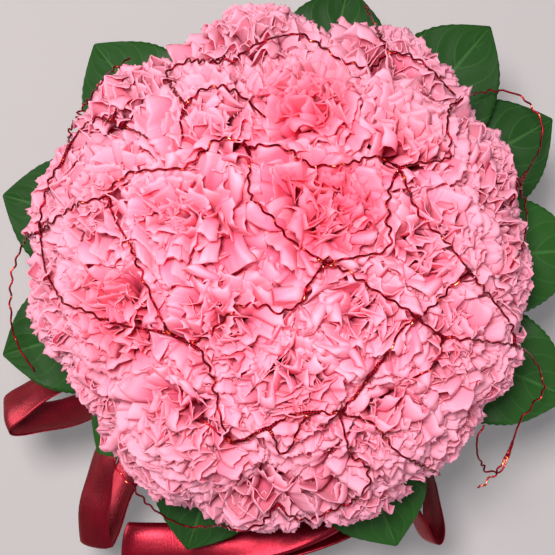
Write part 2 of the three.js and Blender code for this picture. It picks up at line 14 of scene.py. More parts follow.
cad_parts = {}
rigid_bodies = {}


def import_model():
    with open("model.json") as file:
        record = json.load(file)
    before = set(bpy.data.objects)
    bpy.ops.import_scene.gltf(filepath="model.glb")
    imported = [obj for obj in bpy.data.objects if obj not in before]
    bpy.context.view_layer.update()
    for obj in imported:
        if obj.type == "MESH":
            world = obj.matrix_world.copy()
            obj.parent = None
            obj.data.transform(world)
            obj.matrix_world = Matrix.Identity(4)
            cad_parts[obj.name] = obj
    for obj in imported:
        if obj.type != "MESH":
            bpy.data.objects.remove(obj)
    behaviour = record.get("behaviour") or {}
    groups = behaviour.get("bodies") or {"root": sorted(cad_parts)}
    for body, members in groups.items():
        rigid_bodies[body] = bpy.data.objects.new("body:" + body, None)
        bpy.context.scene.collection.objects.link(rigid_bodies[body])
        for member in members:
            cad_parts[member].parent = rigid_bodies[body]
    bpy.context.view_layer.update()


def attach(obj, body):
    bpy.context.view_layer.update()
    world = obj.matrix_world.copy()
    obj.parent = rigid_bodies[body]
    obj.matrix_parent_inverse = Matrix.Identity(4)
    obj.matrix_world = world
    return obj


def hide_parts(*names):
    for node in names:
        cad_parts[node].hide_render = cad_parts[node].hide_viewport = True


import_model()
scene = bpy.context.scene

# ---------- Camera, floor and light ----------
# The bouquet is seen from straight above, a few millimetres off its axis, over a plain pale floor.
# One soft lamp hangs beside the eye, two stand at the sides, and the room gives the rest.
MM = 0.001
EYE_HEIGHT = 810
EYE_PLACE = (-2.2, -1.2)
VIEW_WIDTH = 272  # millimetres across the picture at the dome's widest level
DOME_LEVEL = 210
FLOOR_REACH, FLOOR_COLORS = 4, ("989392", "a19d9c")
ROOM_COLOR, ROOM_STRENGTH = "e9edf2", 0.6
LIT_PLACE = (0, 0, 0.18)  # that the lamps are turned to; floor and lamps are placed in metres


def linear(color):
    """Colour written as six hex digits, as the light values that the shaders work in."""
    parts = [int(color[place : place + 2], 16) / 255 for place in (0, 2, 4)]
    return [part / 12.92 if part <= 0.04045 else ((part + 0.055) / 1.055) ** 2.4 for part in parts] + [1]


class Output:
    """A node's output. Sums written with it add the Math nodes that they need."""

    def __init__(self, tree, socket):
        self.tree, self.socket = tree, socket

    def __getitem__(self, name):
        return Output(self.tree, self.socket.node.outputs[name])

    def math(self, operation, *terms):
        return add_node(self.tree, "ShaderNodeMath", {"operation": operation}, dict(enumerate(terms)))

    def __add__(self, other):
        return self.math("ADD", self, other)

    def __sub__(self, other):
        return self.math("SUBTRACT", self, other)

    def __rsub__(self, other):
        return self.math("SUBTRACT", other, self)

    def __mul__(self, other):
        return self.math("MULTIPLY", self, other)

    def __truediv__(self, other):
        return self.math("DIVIDE", self, other)

    def __pow__(self, other):
        return self.math("POWER", self, other)

    def __abs__(self):
        return self.math("ABSOLUTE", self)

    __radd__ = __add__
    __rmul__ = __mul__


def add_node(tree, kind, settings=None, sockets=None):
    """New node: its settings first, then the values or links of its sockets."""
    node = tree.nodes.new(kind)
    for name, value in (settings or {}).items():
        if name == "stops":
            ramp = node.color_ramp.elements
            while len(ramp) < len(value):
                ramp.new(1)
            for stop, (place, color) in zip(ramp, value):
                stop.position, stop.color = place, linear(color)
        else:
            setattr(node, name, value)
    for name, value in (sockets or {}).items():
        if isinstance(value, Output):
            tree.links.new(value.socket, node.inputs[name])
        else:
            node.inputs[name].default_value = value
    shown = [socket for socket in node.outputs if socket.enabled]
    return Output(tree, shown[0]) if shown else node


def mix_colors(tree, share, first, second):
    """Colour between two others, by share. Each is a node's output or six hex digits."""
    first, second = [linear(color) if isinstance(color, str) else color for color in (first, second)]
    return add_node(tree, "ShaderNodeMix", {"data_type": "RGBA"}, {0: share, 6: first, 7: second})


def noise(tree, place, scale, detail, output="Fac"):
    """Noise at a place, as a number or, from the output Color, as a vector."""
    sockets = {"Vector": place, "Scale": scale, "Detail": detail}
    return add_node(tree, "ShaderNodeTexNoise", {}, sockets)[output]


def object_place(tree):
    """Place on the object, in metres."""
    return add_node(tree, "ShaderNodeTexCoord")["Object"]


def new_material(name):
    """Material with an empty tree, and that tree."""
    material = bpy.data.materials.new(name)
    material.use_nodes = True
    material.node_tree.nodes.clear()
    return material, material.node_tree


def show(tree, surface):
    """Connects the finished surface to the material's output."""
    add_node(tree, "ShaderNodeOutputMaterial", {}, {"Surface": surface})


def show_principled(tree, sockets):
    """Connects a Principled surface with these values to the material's output."""
    show(tree, add_node(tree, "ShaderNodeBsdfPrincipled", {}, sockets))


def add_object(name, data):
    """New object in the scene."""
    made = bpy.data.objects.new(name, data)
    scene.collection.objects.link(made)
    return made


floor_mesh = bpy.data.meshes.new("floor")
floor_corners = [(x * FLOOR_REACH, y * FLOOR_REACH, 0) for x, y in ((-1, -1), (1, -1), (1, 1), (-1, 1))]
floor_mesh.from_pydata(floor_corners, [], [(0, 1, 2, 3)])
floor = add_object("floor", floor_mesh)
floor_paint, tree = new_material("floor_paint")
grain = noise(tree, object_place(tree), 3.0, 2.0)
show_principled(tree, {"Base Color": mix_colors(tree, grain, *FLOOR_COLORS), "Roughness": 0.85})
floor_mesh.materials.append(floor_paint)

camera = add_object("camera", bpy.data.cameras.new("camera"))
camera.location = (EYE_PLACE[0] * MM, EYE_PLACE[1] * MM, EYE_HEIGHT * MM)
camera.data.lens = camera.data.sensor_width * (EYE_HEIGHT - DOME_LEVEL) / VIEW_WIDTH
scene.camera = camera


def add_lamp(name, place, size, power, color):
    """Square soft lamp turned towards the middle of the bouquet."""
    lamp = add_object(name, bpy.data.lights.new(name, "AREA"))
    lamp.data.size, lamp.data.energy, lamp.data.color = size, power, linear(color)[:3]
    lamp.location = place
    lamp.rotation_euler = (Vector(LIT_PLACE) - lamp.location).to_track_quat("-Z", "Y").to_euler()


add_lamp("lamp_above", (-0.08, 0.12, 1.0), 0.15, 13.1, "fff8f8")
add_lamp("lamp_side", (1.1, -0.9, 0.7), 0.9, 7, "f2f5ff")
add_lamp("lamp_left", (-1.15, 0.4, 0.3), 0.5, 9, "fff6f4")
scene.world = bpy.data.worlds.new("room")
scene.world.use_nodes = True
room = scene.world.node_tree.nodes["Background"].inputs
room["Color"].default_value, room["Strength"].default_value = linear(ROOM_COLOR), ROOM_STRENGTH
scene.view_settings.view_transform = "Standard"

# ---------- Where each flower stands ----------
# 27 carnations pressed together in a dome. Their calyx mouths lie on a half ellipsoid. The outer
# ring is given by azimuth, and by how far its neighbours push each bloom outwards of its stem's
# place; the rest in plan.
DOME_HEIGHT, DOME_RADIUS, DOME_RISE = 200, 90, 58
RIM_SHARE, RIM_LEAN = 0.985, 68
BLOOM_RADIUS, BLOOM_FLOOR = 37, 178.5
UP = np.array([0.0, 0.0, 1.0])


def vec(*parts):
    return np.array(parts, float)


def polar(radius, azimuth, height=0):
    """Point at a radius and an azimuth in degrees."""
    turn = math.radians(azimuth)
    return vec(radius * math.cos(turn), radius * math.sin(turn), height)


def unit(vector):
    return vector / np.linalg.norm(vector)


plans = {
    "crown": [(-36, 21), (16, 25), (-22, -21), (5, -42), (33, -17)],
    "shoulder": [(11, 62), (-29, 57), (47, 52), (56, 13), (62, -26), (37, -58), (-36, -56), (-61, -15),
                 (-64, 25)],
}
rim_ring = [(97, 6), (62, 7), (29, 0), (2, -4), (-24, -3), (-47, -4), (-71, 0), (-96, 0), (-122, -2),
            (-149, -10), (-174, -2), (160, 1), (132, 1)]
plans["rim"] = [polar(DOME_RADIUS * RIM_SHARE, azimuth)[:2] for azimuth, push in rim_ring]


class Flower:
    """One carnation: the middle of its calyx mouth, its axis, and its slot at the binding."""

    def __init__(self, name, x, y, push):
        self.name = name
        lean = math.asin(math.hypot(x, y) / DOME_RADIUS)
        self.calyx = vec(x, y, DOME_HEIGHT + DOME_RISE * math.cos(lean))
        self.axis = unit(vec(x / DOME_RADIUS**2, y / DOME_RADIUS**2, math.cos(lean) / DOME_RISE))
        steepest = math.radians(RIM_LEAN)
        if math.acos(self.axis[2]) > steepest:
            self.axis = math.sin(steepest) * unit(vec(x, y, 0)) + math.cos(steepest) * UP
        self.calyx += unit(vec(x, y, 0)) * push
        self.slot = vec(0, 0, 0) if name == "crown_3" else vec(x, y, 0)


flowers = {}
for ring, places in plans.items():
    for place, (x, y) in enumerate(places, 1):
        push = rim_ring[place - 1][1] if ring == "rim" else 0
        flowers[f"{ring}_{place}"] = Flower(f"{ring}_{place}", x, y, push)


def smooth_object(mesh):
    """Object of a finished mesh, shaded smooth."""
    mesh.polygons.foreach_set("use_smooth", [True] * len(mesh.polygons))
    return add_object(mesh.name, mesh)


def new_piece(name, points, faces, material):
    """Mesh object from points in millimetres."""
    mesh = bpy.data.meshes.new(name)
    mesh.from_pydata([tuple(point) for point in np.asarray(points) * MM], [], faces)
    mesh.materials.append(material)
    return smooth_object(mesh)


def add_attribute(mesh, name, values):
    """Number kept at each vertex, for the material to read."""
    mesh.attributes.new(name, "FLOAT", "POINT").data.foreach_set("value", np.asarray(values, np.float32))


def grid_faces(rows, columns, closed=False):
    """Quads of a grid of points laid row by row."""
    faces = []
    for near in range(0, (rows - 1) * columns, columns):
        far = near + columns
        for column in range(columns if closed else columns - 1):
            beside = (column + 1) % columns
            faces.append((near + column, near + beside, far + beside, far + column))
    return faces


# ---------- Stems ----------
# Each carnation stem is a smooth waxy cane with a few swollen joints, and ends in a tubular calyx
# with five teeth. All 27 cross at the binding in one spiral, held by the ribbon, and are cut level.
WAIST_HEIGHT, WAIST_SQUEEZE, FOOT_SPREAD, SPIRAL_TURN = 112, 0.16, 0.5, 62
STEM_RADIUS, STEM_SIDES, FUSED_SPACING = 2.2, 14, 3.8
CUT_SQUARE = 0.8  # first bit of each cane, upright so that its cut lies level
STEM_PULLS = (36, 30)  # how far a cane runs on straight from the binding, and straight into its calyx
JOINT_PLACES, JOINT_RUN = (0.42, 0.93), 1.1  # shares of this many times the way to the binding
JOINT_SWELL, JOINT_LENGTH = 0.28, 2.6
CALYX_LENGTH, CALYX_RADIUS, SEAT_GAP = 26, 6.4, 0.3
CALYX_SIDES, CALYX_TEETH, TOOTH_LENGTH, CALYX_WALL = 40, 5, 2.6, 0.6
CALYX_RIBS, RIB_SWELL = 10, 0.12
SCALES_FROM, SCALES_TO, SCALE_SWELL = 1.2, 6.0, 0.55
CUP_FLOOR, CUP_RADIUS = 20, 5.4
calyx_rings = [
    # height above the cane's end, radius
    (0, 2.3), (1.2, 3.3), (3.0, 4.3), (6.0, 5.25), (7.4, 5.35), (12, 5.8), (18, 6.15), (22, 6.35),
]


def node_tree(name, sockets):
    """Geometry tree with named inputs, and its input node."""
    made = bpy.data.node_groups.new(name, "GeometryNodeTree")
    for label, kind in sockets.items():
        made.interface.new_socket(label, in_out="INPUT", socket_type=f"NodeSocket{kind}")
    made.interface.new_socket("Result", in_out="OUTPUT", socket_type="NodeSocketGeometry")
    return made, add_node(made, "NodeGroupInput")


def finish_tree(made, geometry, material):
    """Ends a tree: instances made real, material set."""
    geometry = add_node(made, "GeometryNodeRealizeInstances", {}, {"Geometry": geometry})
    geometry = add_node(made, "GeometryNodeSetMaterial", {}, {"Geometry": geometry, "Material": material})
    add_node(made, "NodeGroupOutput", {}, {"Result": geometry})


def kept(made, name):
    """Number that the geometry keeps at each point, in a tree that grows it."""
    return add_node(made, "GeometryNodeInputNamedAttribute", {"data_type": "FLOAT"}, {"Name": name})


def finish_as_pipe(made, given, curve):
    """Ends a tree in a round skin along a curve, as thick as its girth and closed at both ends."""
    profile = add_node(made, "GeometryNodeCurvePrimitiveCircle", {}, {
        "Resolution": given["Sides"], "Radius": 1.0})
    finish_tree(made, add_node(made, "GeometryNodeCurveToMesh", {}, {
        "Curve": curve, "Profile Curve": profile, "Scale": kept(made, "girth"), "Fill Caps": True}),
        given["Skin"])


cane_tree, given = node_tree("cane", {"Path": "Geometry", "Sides": "Int", "Skin": "Material"})
curve = add_node(cane_tree, "GeometryNodeMeshToCurve", {}, {"Mesh": given["Path"]})
finish_as_pipe(cane_tree, given, curve)


def grown(name, mesh, made_by, inputs):
    """Plain mesh that a node tree makes of a starting mesh."""
    start = add_object(f"{name}_start", mesh)
    modifier = start.modifiers.new("grow", "NODES")
    modifier.node_group = made_by
    for socket in made_by.interface.items_tree:
        if socket.in_out == "INPUT" and socket.name in inputs:
            modifier[socket.identifier] = inputs[socket.name]
    depsgraph = bpy.context.evaluated_depsgraph_get()
    made = bpy.data.meshes.new_from_object(start.evaluated_get(depsgraph), depsgraph=depsgraph)
    bpy.data.objects.remove(start)
    made.name = name
    return made


def path_mesh(paths, girths):
    """Mesh of bare lines through points in millimetres, with the girth at each point."""
    points, edges = [], []
    for path in paths:
        edges += [(len(points) + place, len(points) + place + 1) for place in range(len(path) - 1)]
        points += [tuple(point) for point in np.asarray(path) * MM]
    mesh = bpy.data.meshes.new("paths")
    mesh.from_pydata(points, edges, [])
    add_attribute(mesh, "girth", np.concatenate(girths) * MM)
    return mesh


def coordinates(mesh):
    """Places of a mesh's vertices, in metres."""
    points = np.zeros(len(mesh.vertices) * 3, np.float32)
    mesh.vertices.foreach_get("co", points)
    return points.reshape(-1, 3).astype(float)


def run_along(path):
    """Distance run along a path at each of its points."""
    return np.concatenate([[0], np.cumsum(np.linalg.norm(np.diff(path, axis=0), axis=1))])


def bezier(start, first, second, end, shares):
    t = np.asarray(shares)[:, None]
    return ((1 - t) ** 3 * start + 3 * (1 - t) ** 2 * t * first + 3 * (1 - t) * t**2 * second + t**3 * end)


def turned_about_axis(point, angle):
    turn = math.radians(angle)
    return vec(point[0] * math.cos(turn) - point[1] * math.sin(turn),
               point[0] * math.sin(turn) + point[1] * math.cos(turn), point[2])


def spiralled(slot, share):
    """Place of a slot at a share of the way from the cut ends to the binding."""
    foot, waist = turned_about_axis(slot, -SPIRAL_TURN) * FOOT_SPREAD, slot * WAIST_SQUEEZE
    return foot + (waist - foot) * share + UP * WAIST_HEIGHT * share


def upper_run(foot, waist, end, heading, pulls, shares):
    """Curve that leaves the binding along the stem's lean and arrives square to what it carries."""
    return bezier(waist, waist + unit(waist - foot) * pulls[0], end - heading * pulls[1], end, shares)


def longest_hop(places):
    """Longest hop of the shortest chain that joins all the places."""
    joined, waiting, longest = [places[0]], list(places[1:]), 0
    while waiting:
        hops = [min(np.linalg.norm(place - other) for other in joined) for place in waiting]
        nearest = int(np.argmin(hops))
        longest = max(longest, hops[nearest])
        joined.append(waiting.pop(nearest))
    return longest


def capped_faces(rows, columns):
    """Quads of closed rings of points, and a face over each end."""
    faces = grid_faces(rows, columns, closed=True)
    faces.append(tuple(reversed(range(columns))))
    faces.append(tuple(range((rows - 1) * columns, rows * columns)))
    return faces


def calyx_part(base, axis):
    """Cup of a calyx: small scales round its foot, five teeth at its mouth."""
    across = unit(np.cross(UP, axis))
    ahead = np.cross(axis, across)
    turn = np.linspace(0, 2 * math.pi, CALYX_SIDES, endpoint=False)
    tooth = np.abs(np.cos(CALYX_TEETH / 2 * turn)) ** 1.4
    scale = np.maximum(0, np.cos(2 * turn)) ** 0.7
    rings = []
    for height, radius in calyx_rings:
        scales = SCALE_SWELL * scale * (SCALES_FROM <= height <= SCALES_TO)
        rings.append((height + 0 * turn, radius + scales + RIB_SWELL * np.cos(CALYX_RIBS * turn)))
    mouth = CALYX_LENGTH - TOOTH_LENGTH * (1 - tooth)
    rings.append((mouth, CALYX_RADIUS + 0.1 + 0 * turn))
    rings.append((mouth, CALYX_RADIUS + 0.1 - CALYX_WALL + 0 * turn))
    rings.append((CUP_FLOOR + 0 * turn, CUP_RADIUS + 0 * turn))
    points = [base + height[:, None] * axis + (radius * np.cos(turn))[:, None] * across
              + (radius * np.sin(turn))[:, None] * ahead for height, radius in rings]
    return np.concatenate(points), capped_faces(len(rings), CALYX_SIDES)


def eased(tree, value, low, high, first=0.0, last=1.0, how="SMOOTHSTEP"):
    """Goes from first to last as the value goes from low to high."""
    return add_node(tree, "ShaderNodeMapRange", {"interpolation_type": how}, {
        "Value": value, "From Min": low, "From Max": high, "To Min": first, "To Max": last})


def bump(tree, strength, distance, height):
    """Normal that a relief gives; the distance is in metres."""
    return add_node(tree, "ShaderNodeBump", {}, {
        "Strength": strength, "Distance": distance, "Height": height})


cane_wax, tree = new_material("cane_wax")
spot = object_place(tree)
height = add_node(tree, "ShaderNodeSeparateXYZ", {}, {"Vector": spot})["Z"]
mottle = noise(tree, spot, 90.0, 4.0)
lengthwise = add_node(tree, "ShaderNodeMapping", {}, {"Vector": spot, "Scale": (900, 900, 60)})
streaks = noise(tree, lengthwise, 1.0, 2.0)
cut = eased(tree, height, 0.0001, 0.0004, 1.0, 0.0, "LINEAR")
green = mix_colors(tree, mottle, "5f8350", "93ad79")
green = mix_colors(tree, streaks * 0.35, green, "b3c6a0")
show_principled(tree, {
    "Base Color": mix_colors(tree, cut, green, "d5dcae"), "Roughness": 0.42 + mottle * 0.25,
    "Normal": bump(tree, 0.3, 0.0004, streaks)})

bundles = [
    ("crown_3", "crown_1", "shoulder_8"), ("shoulder_9", "rim_12", "rim_11"),
    ("shoulder_2", "rim_13", "rim_1"), ("shoulder_1", "crown_2"), ("shoulder_3", "rim_2", "rim_3"),
    ("shoulder_4", "crown_5", "rim_4"), ("shoulder_5", "rim_5", "rim_6"),
    ("shoulder_6", "rim_7", "crown_4"), ("shoulder_7", "rim_9", "rim_8", "rim_10"),
]


def joined(meshes):
    """Points and faces of several parts as one."""
    points, faces, used = [], [], 0
    for part_points, part_faces in meshes:
        points.append(part_points)
        faces += [tuple(used + corner for corner in face) for face in part_faces]
        used += len(part_points)
    return np.concatenate(points), faces


def part_of(mesh):
    """Points and faces of a mesh, in millimetres."""
    return coordinates(mesh) / MM, [tuple(face.vertices) for face in mesh.polygons]


for number, names in enumerate(bundles, 1):
    members = [flowers[name] for name in names]
    waists = [spiralled(flower.slot, 1) for flower in members]
    middle = np.mean(waists, axis=0)
    pull = max(0, 1 - FUSED_SPACING / longest_hop(waists))
    paths, girths, parts = [], [], []
    for flower, waist in zip(members, waists):
        foot = spiralled(flower.slot, 0)
        waist = waist + (middle - waist) * pull
        base = flower.calyx - flower.axis * (CALYX_LENGTH + SEAT_GAP)
        shares = np.linspace(0, 1, 26)
        lower = foot + (waist - foot) * shares[1:, None]
        upper = upper_run(foot, waist, base, flower.axis, STEM_PULLS, shares)
        path = np.concatenate([[foot, foot + UP * CUT_SQUARE], lower, upper[1:]])
        run = run_along(path)
        joints = [place * WAIST_HEIGHT * JOINT_RUN for place in JOINT_PLACES]
        swell = sum(np.exp(-(((run - joint) / JOINT_LENGTH) ** 2)) for joint in joints)
        paths.append(path)
        girths.append(STEM_RADIUS * (0.96 + JOINT_SWELL * swell))
        parts.append(calyx_part(base, flower.axis))
    canes = grown("canes", path_mesh(paths, girths), cane_tree, {"Sides": STEM_SIDES, "Skin": cane_wax})
    piece = new_piece(f"stem_bundle_{number}", *joined([part_of(canes), *parts]), cane_wax)
    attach(piece, "root")
    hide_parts(f"stems_{number}")

# ---------- Collar leaves ----------
# Twelve broad leathery leaves with finely toothed edges and drawn-out tips lie in turn on two
# levels under the dome. Each is held by its own twig, which the binding clamps beside the stems.
LEAF_BASE_RADIUS, LEAF_HALF_WIDTH, LEAF_THICKNESS = 56, 30, 0.55
LEAF_LEVELS = (161, 152)
TWIG_RADIUS, TWIG_SIDES, TWIG_PLACE, TWIG_END_HEIGHT = 1.3, 10, 113, 90
TWIG_PULLS = (30, 24)
SMALL_LEAF, SMALL_SHARE = 90, 0.8  # a blade shorter than this is narrower, too
BASE_CLIMB, TIP_DROP, V_FOLD, EDGE_WAVE = 22, 14, 0.1, 1.1
BLADE_ROWS, BLADE_COLUMNS = 61, 27
EDGE_TOOTH = 0.022  # share of the blade's half width
VEIN_PAIRS, VEIN_SWEEP = 8, 0.30
VEIN_RELIEF, MIDRIB_DEPTH, MIDRIB_HALF = 0.28, 0.5, 1.1
leaves = [
    # azimuth, azimuth of its twig at the binding, length of the blade
    (5, 349, 104), (30, 15.5, 112), (50, 45.5, 116), (77, 79.5, 104), (103, 114.5, 78), (129, 146, 104),
    (164, 173, 98), (196, 198.5, 100), (224, 224.5, 80), (251, 251, 100), (293, 301, 100),
    (337, 324.5, 112),
]
blade_outline = [(0, 0.07), (0.1, 0.62), (0.27, 0.97), (0.47, 1.08), (0.67, 1.0), (0.85, 0.66), (0.94, 0.3),
                 (1, 0.02)]


def smooth_through(places, values, wanted):
    """Smooth curve through points given by place and value."""
    slopes = np.gradient(values, places)
    index = np.clip(np.searchsorted(places, wanted) - 1, 0, len(places) - 2)
    gap = places[index + 1] - places[index]
    t = (wanted - places[index]) / gap
    return ((2 * t**3 - 3 * t**2 + 1) * values[index] + (t**3 - 2 * t**2 + t) * gap * slopes[index]
            + (3 * t**2 - 2 * t**3) * values[index + 1] + (t**3 - t**2) * gap * slopes[index + 1])


def blade_part(length, half_width, random):
    """Blade along +X from the origin, with its place along and across for the veins."""
    along = np.linspace(0, 1, BLADE_ROWS)
    across = np.linspace(-1, 1, BLADE_COLUMNS)
    places, widths = np.array(blade_outline).T
    width = np.clip(smooth_through(places, widths, along), 0.02, 1.1) * half_width
    steps = 12
    middle = (np.arange(steps) + 0.5) / steps
    climb = np.radians(BASE_CLIMB - (BASE_CLIMB + TIP_DROP) * along[:, None] * middle)
    x = length * along * np.cos(climb).mean(1)
    z = length * along * np.sin(climb).mean(1)
    s, t = np.meshgrid(across, along)
    toothed = 1 + EDGE_TOOTH * (np.arange(BLADE_ROWS) % 2 - 0.5) * ((along > 0.12) & (along < 0.93))
    y = s * (width * toothed)[:, None]
    edge = EDGE_WAVE * s**2 * np.sin(2 * math.pi * (3.1 * t + random.uniform()))
    veins = np.cos(2 * math.pi * VEIN_PAIRS * (t - VEIN_SWEEP * np.abs(s) ** 1.25))
    midrib = np.exp(-((y / MIDRIB_HALF) ** 2))
    relief = VEIN_RELIEF * veins * np.sin(math.pi * np.abs(s)) - MIDRIB_DEPTH * midrib
    height = z[:, None] + V_FOLD * np.abs(y) * 0.9 + edge * width[:, None] / half_width
    height = height + relief * np.minimum(1, width / 12)[:, None]
    points = np.stack([np.broadcast_to(x[:, None], y.shape), y, height], -1).reshape(-1, 3)
    return points, t.ravel(), s.ravel()


def attribute(tree, name):
    """Number that the mesh keeps at each vertex, in a material."""
    return add_node(tree, "ShaderNodeAttribute", {"attribute_name": name})["Fac"]


leaf_skin, tree = new_material("leaf_skin")
spot = object_place(tree)
along, across, tone = [attribute(tree, name) for name in ("along", "across", "tone")]
side = abs(across)
order = (along - (side ** 1.25) * VEIN_SWEEP) * VEIN_PAIRS
vein = eased(tree, abs(order.math("FRACT", order) - 0.5), 0.43, 0.5)
midrib = eased(tree, side, 0.015, 0.05, 1.0, 0.0)
veins = vein.math("MAXIMUM", vein * 0.55, midrib)
net = add_node(tree, "ShaderNodeTexVoronoi", {"feature": "DISTANCE_TO_EDGE"}, {
    "Vector": spot, "Scale": 420.0})["Distance"]
patches = noise(tree, spot, 28.0, 3.0)
green = mix_colors(tree, patches, "0a2406", "13380b")
green = mix_colors(tree, tone * 0.4, green, "1f4a12")
green = mix_colors(tree, veins * 0.2, green, "4a753a")
show_principled(tree, {
    "Base Color": green, "Roughness": 0.4 + patches * 0.2, "Specular IOR Level": 0.14,
    "Normal": bump(tree, 0.35, 0.0005, veins * -0.6 + net * 0.5)})

random = np.random.default_rng(12)
for number, (azimuth, twig_azimuth, length) in enumerate(leaves, 1):
    slot = polar(TWIG_PLACE, twig_azimuth)
    waist, end = spiralled(slot, 1), spiralled(slot, TWIG_END_HEIGHT / WAIST_HEIGHT)
    foot = polar(LEAF_BASE_RADIUS, azimuth, LEAF_LEVELS[(number - 1) % 2])
    climb = math.radians(BASE_CLIMB)
    heading = polar(math.cos(climb), azimuth, math.sin(climb))
    upper = upper_run(end, waist, foot, heading, TWIG_PULLS, np.linspace(0, 1, 24))
    # the twig runs on under the blade and thins out there
    path = np.concatenate([[end, end + UP * 0.4], upper, [foot + heading * 6, foot + heading * 14]])
    girth = np.full(len(path), TWIG_RADIUS * 0.96)
    girth[-2:] = TWIG_RADIUS * 0.8, TWIG_RADIUS * 0.35
    twig = grown("twig", path_mesh([path], [girth]), cane_tree, {"Sides": TWIG_SIDES, "Skin": leaf_skin})
    twig = part_of(twig)
    half_width = LEAF_HALF_WIDTH * (1 if length > SMALL_LEAF else SMALL_SHARE)
    blade, along_values, across_values = blade_part(length, half_width, random)
    turn = math.radians(azimuth)
    spin = np.array([[math.cos(turn), math.sin(turn), 0], [-math.sin(turn), math.cos(turn), 0], [0, 0, 1]])
    blade = blade @ spin + foot
    under = blade - UP * LEAF_THICKNESS
    upper_faces = grid_faces(BLADE_ROWS, BLADE_COLUMNS)
    lower_faces = [tuple(reversed([corner + len(blade) for corner in face])) for face in upper_faces]
    border = ([row * BLADE_COLUMNS for row in range(BLADE_ROWS)]
              + [(BLADE_ROWS - 1) * BLADE_COLUMNS + column for column in range(1, BLADE_COLUMNS)]
              + [row * BLADE_COLUMNS + BLADE_COLUMNS - 1 for row in range(BLADE_ROWS - 2, -1, -1)]
              + [column for column in range(BLADE_COLUMNS - 2, 0, -1)])
    rim = [(a, b, b + len(blade), a + len(blade)) for a, b in zip(border, border[1:] + border[:1])]
    solid = (np.concatenate([blade, under]), upper_faces + lower_faces + rim)
    piece = new_piece(f"collar_leaf_{number}", *joined([solid, twig]), leaf_skin)
    on_twig = np.full(len(twig[0]), 0.5)
    add_attribute(piece.data, "along", np.concatenate([along_values, along_values, on_twig]))
    add_attribute(piece.data, "across", np.concatenate([across_values, across_values, on_twig]))
    add_attribute(piece.data, "tone", np.full(len(piece.data.vertices), random.uniform()))
    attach(piece, "root")
    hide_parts(f"leaf_{number}")

# ---------- Blooms ----------
# A carnation has some fifty thin petals. Each is a fan on a narrow claw, gathered into folds
# towards its toothed rim. They grow out of the calyx one golden turn after another, from the
# spread guard petals to the furled heart.
PETALS, LEAST_PETALS = 78, 14  # within its lowest ring: of a bloom that stands free, of one without room
GUARD_RING = 11  # petals of its lowest ring, evenly spaced
GUARD_ANGLE, HEART_ANGLE = 96, -13  # degrees from the bloom's axis to its outermost and innermost rims
NECK_RADIUS = 6.0
PETAL_ROWS = (0, 0.24, 0.44, 0.60, 0.74, 0.86, 0.95, 1.0)
PETAL_COLUMNS = 33
PETAL_THICKNESS = 0.28
TOOTH_DEPTH, RIM_ROUNDING, RIM_SWAY = 0.027, 0.24, 0.03  # shares of the petal's length
CLAW_SHARE, CLAW_END, FAN_RUN = 0.15, 0.06, 0.68  # the claw's share of the width, and where it opens
CUPPING = 0.10
OVERTONES = ((1, 1), (1.9, 0.55), (3.7, 0.22))  # of a petal's ruffle: waves and height of each
FLAT_RISE = 0.62  # petals that rise less than this stay flat, the others curl over at the rim
GOLDEN_TURN = math.pi * (3 - math.sqrt(5))
PATTERNS_OF_A_KIND = 4
CRUMPLE = 2.4
CRUMPLE_LAYERS = ((45.0, 3.1, 3.0), (110.0, 0.9, 8.0))  # scale of the noise, share, place in the noise
petal_kinds = [
    # share of the petal's length: width, folds' height; degrees: bend in its length, folding
    {"width": 0.80, "bend": 34, "fold": 10, "ruffle": 0.060, "waves": 2.4},
    {"width": 0.96, "bend": 62, "fold": 22, "ruffle": 0.105, "waves": 2.3},
    {"width": 0.84, "bend": 50, "fold": 28, "ruffle": 0.130, "waves": 2.6},
]


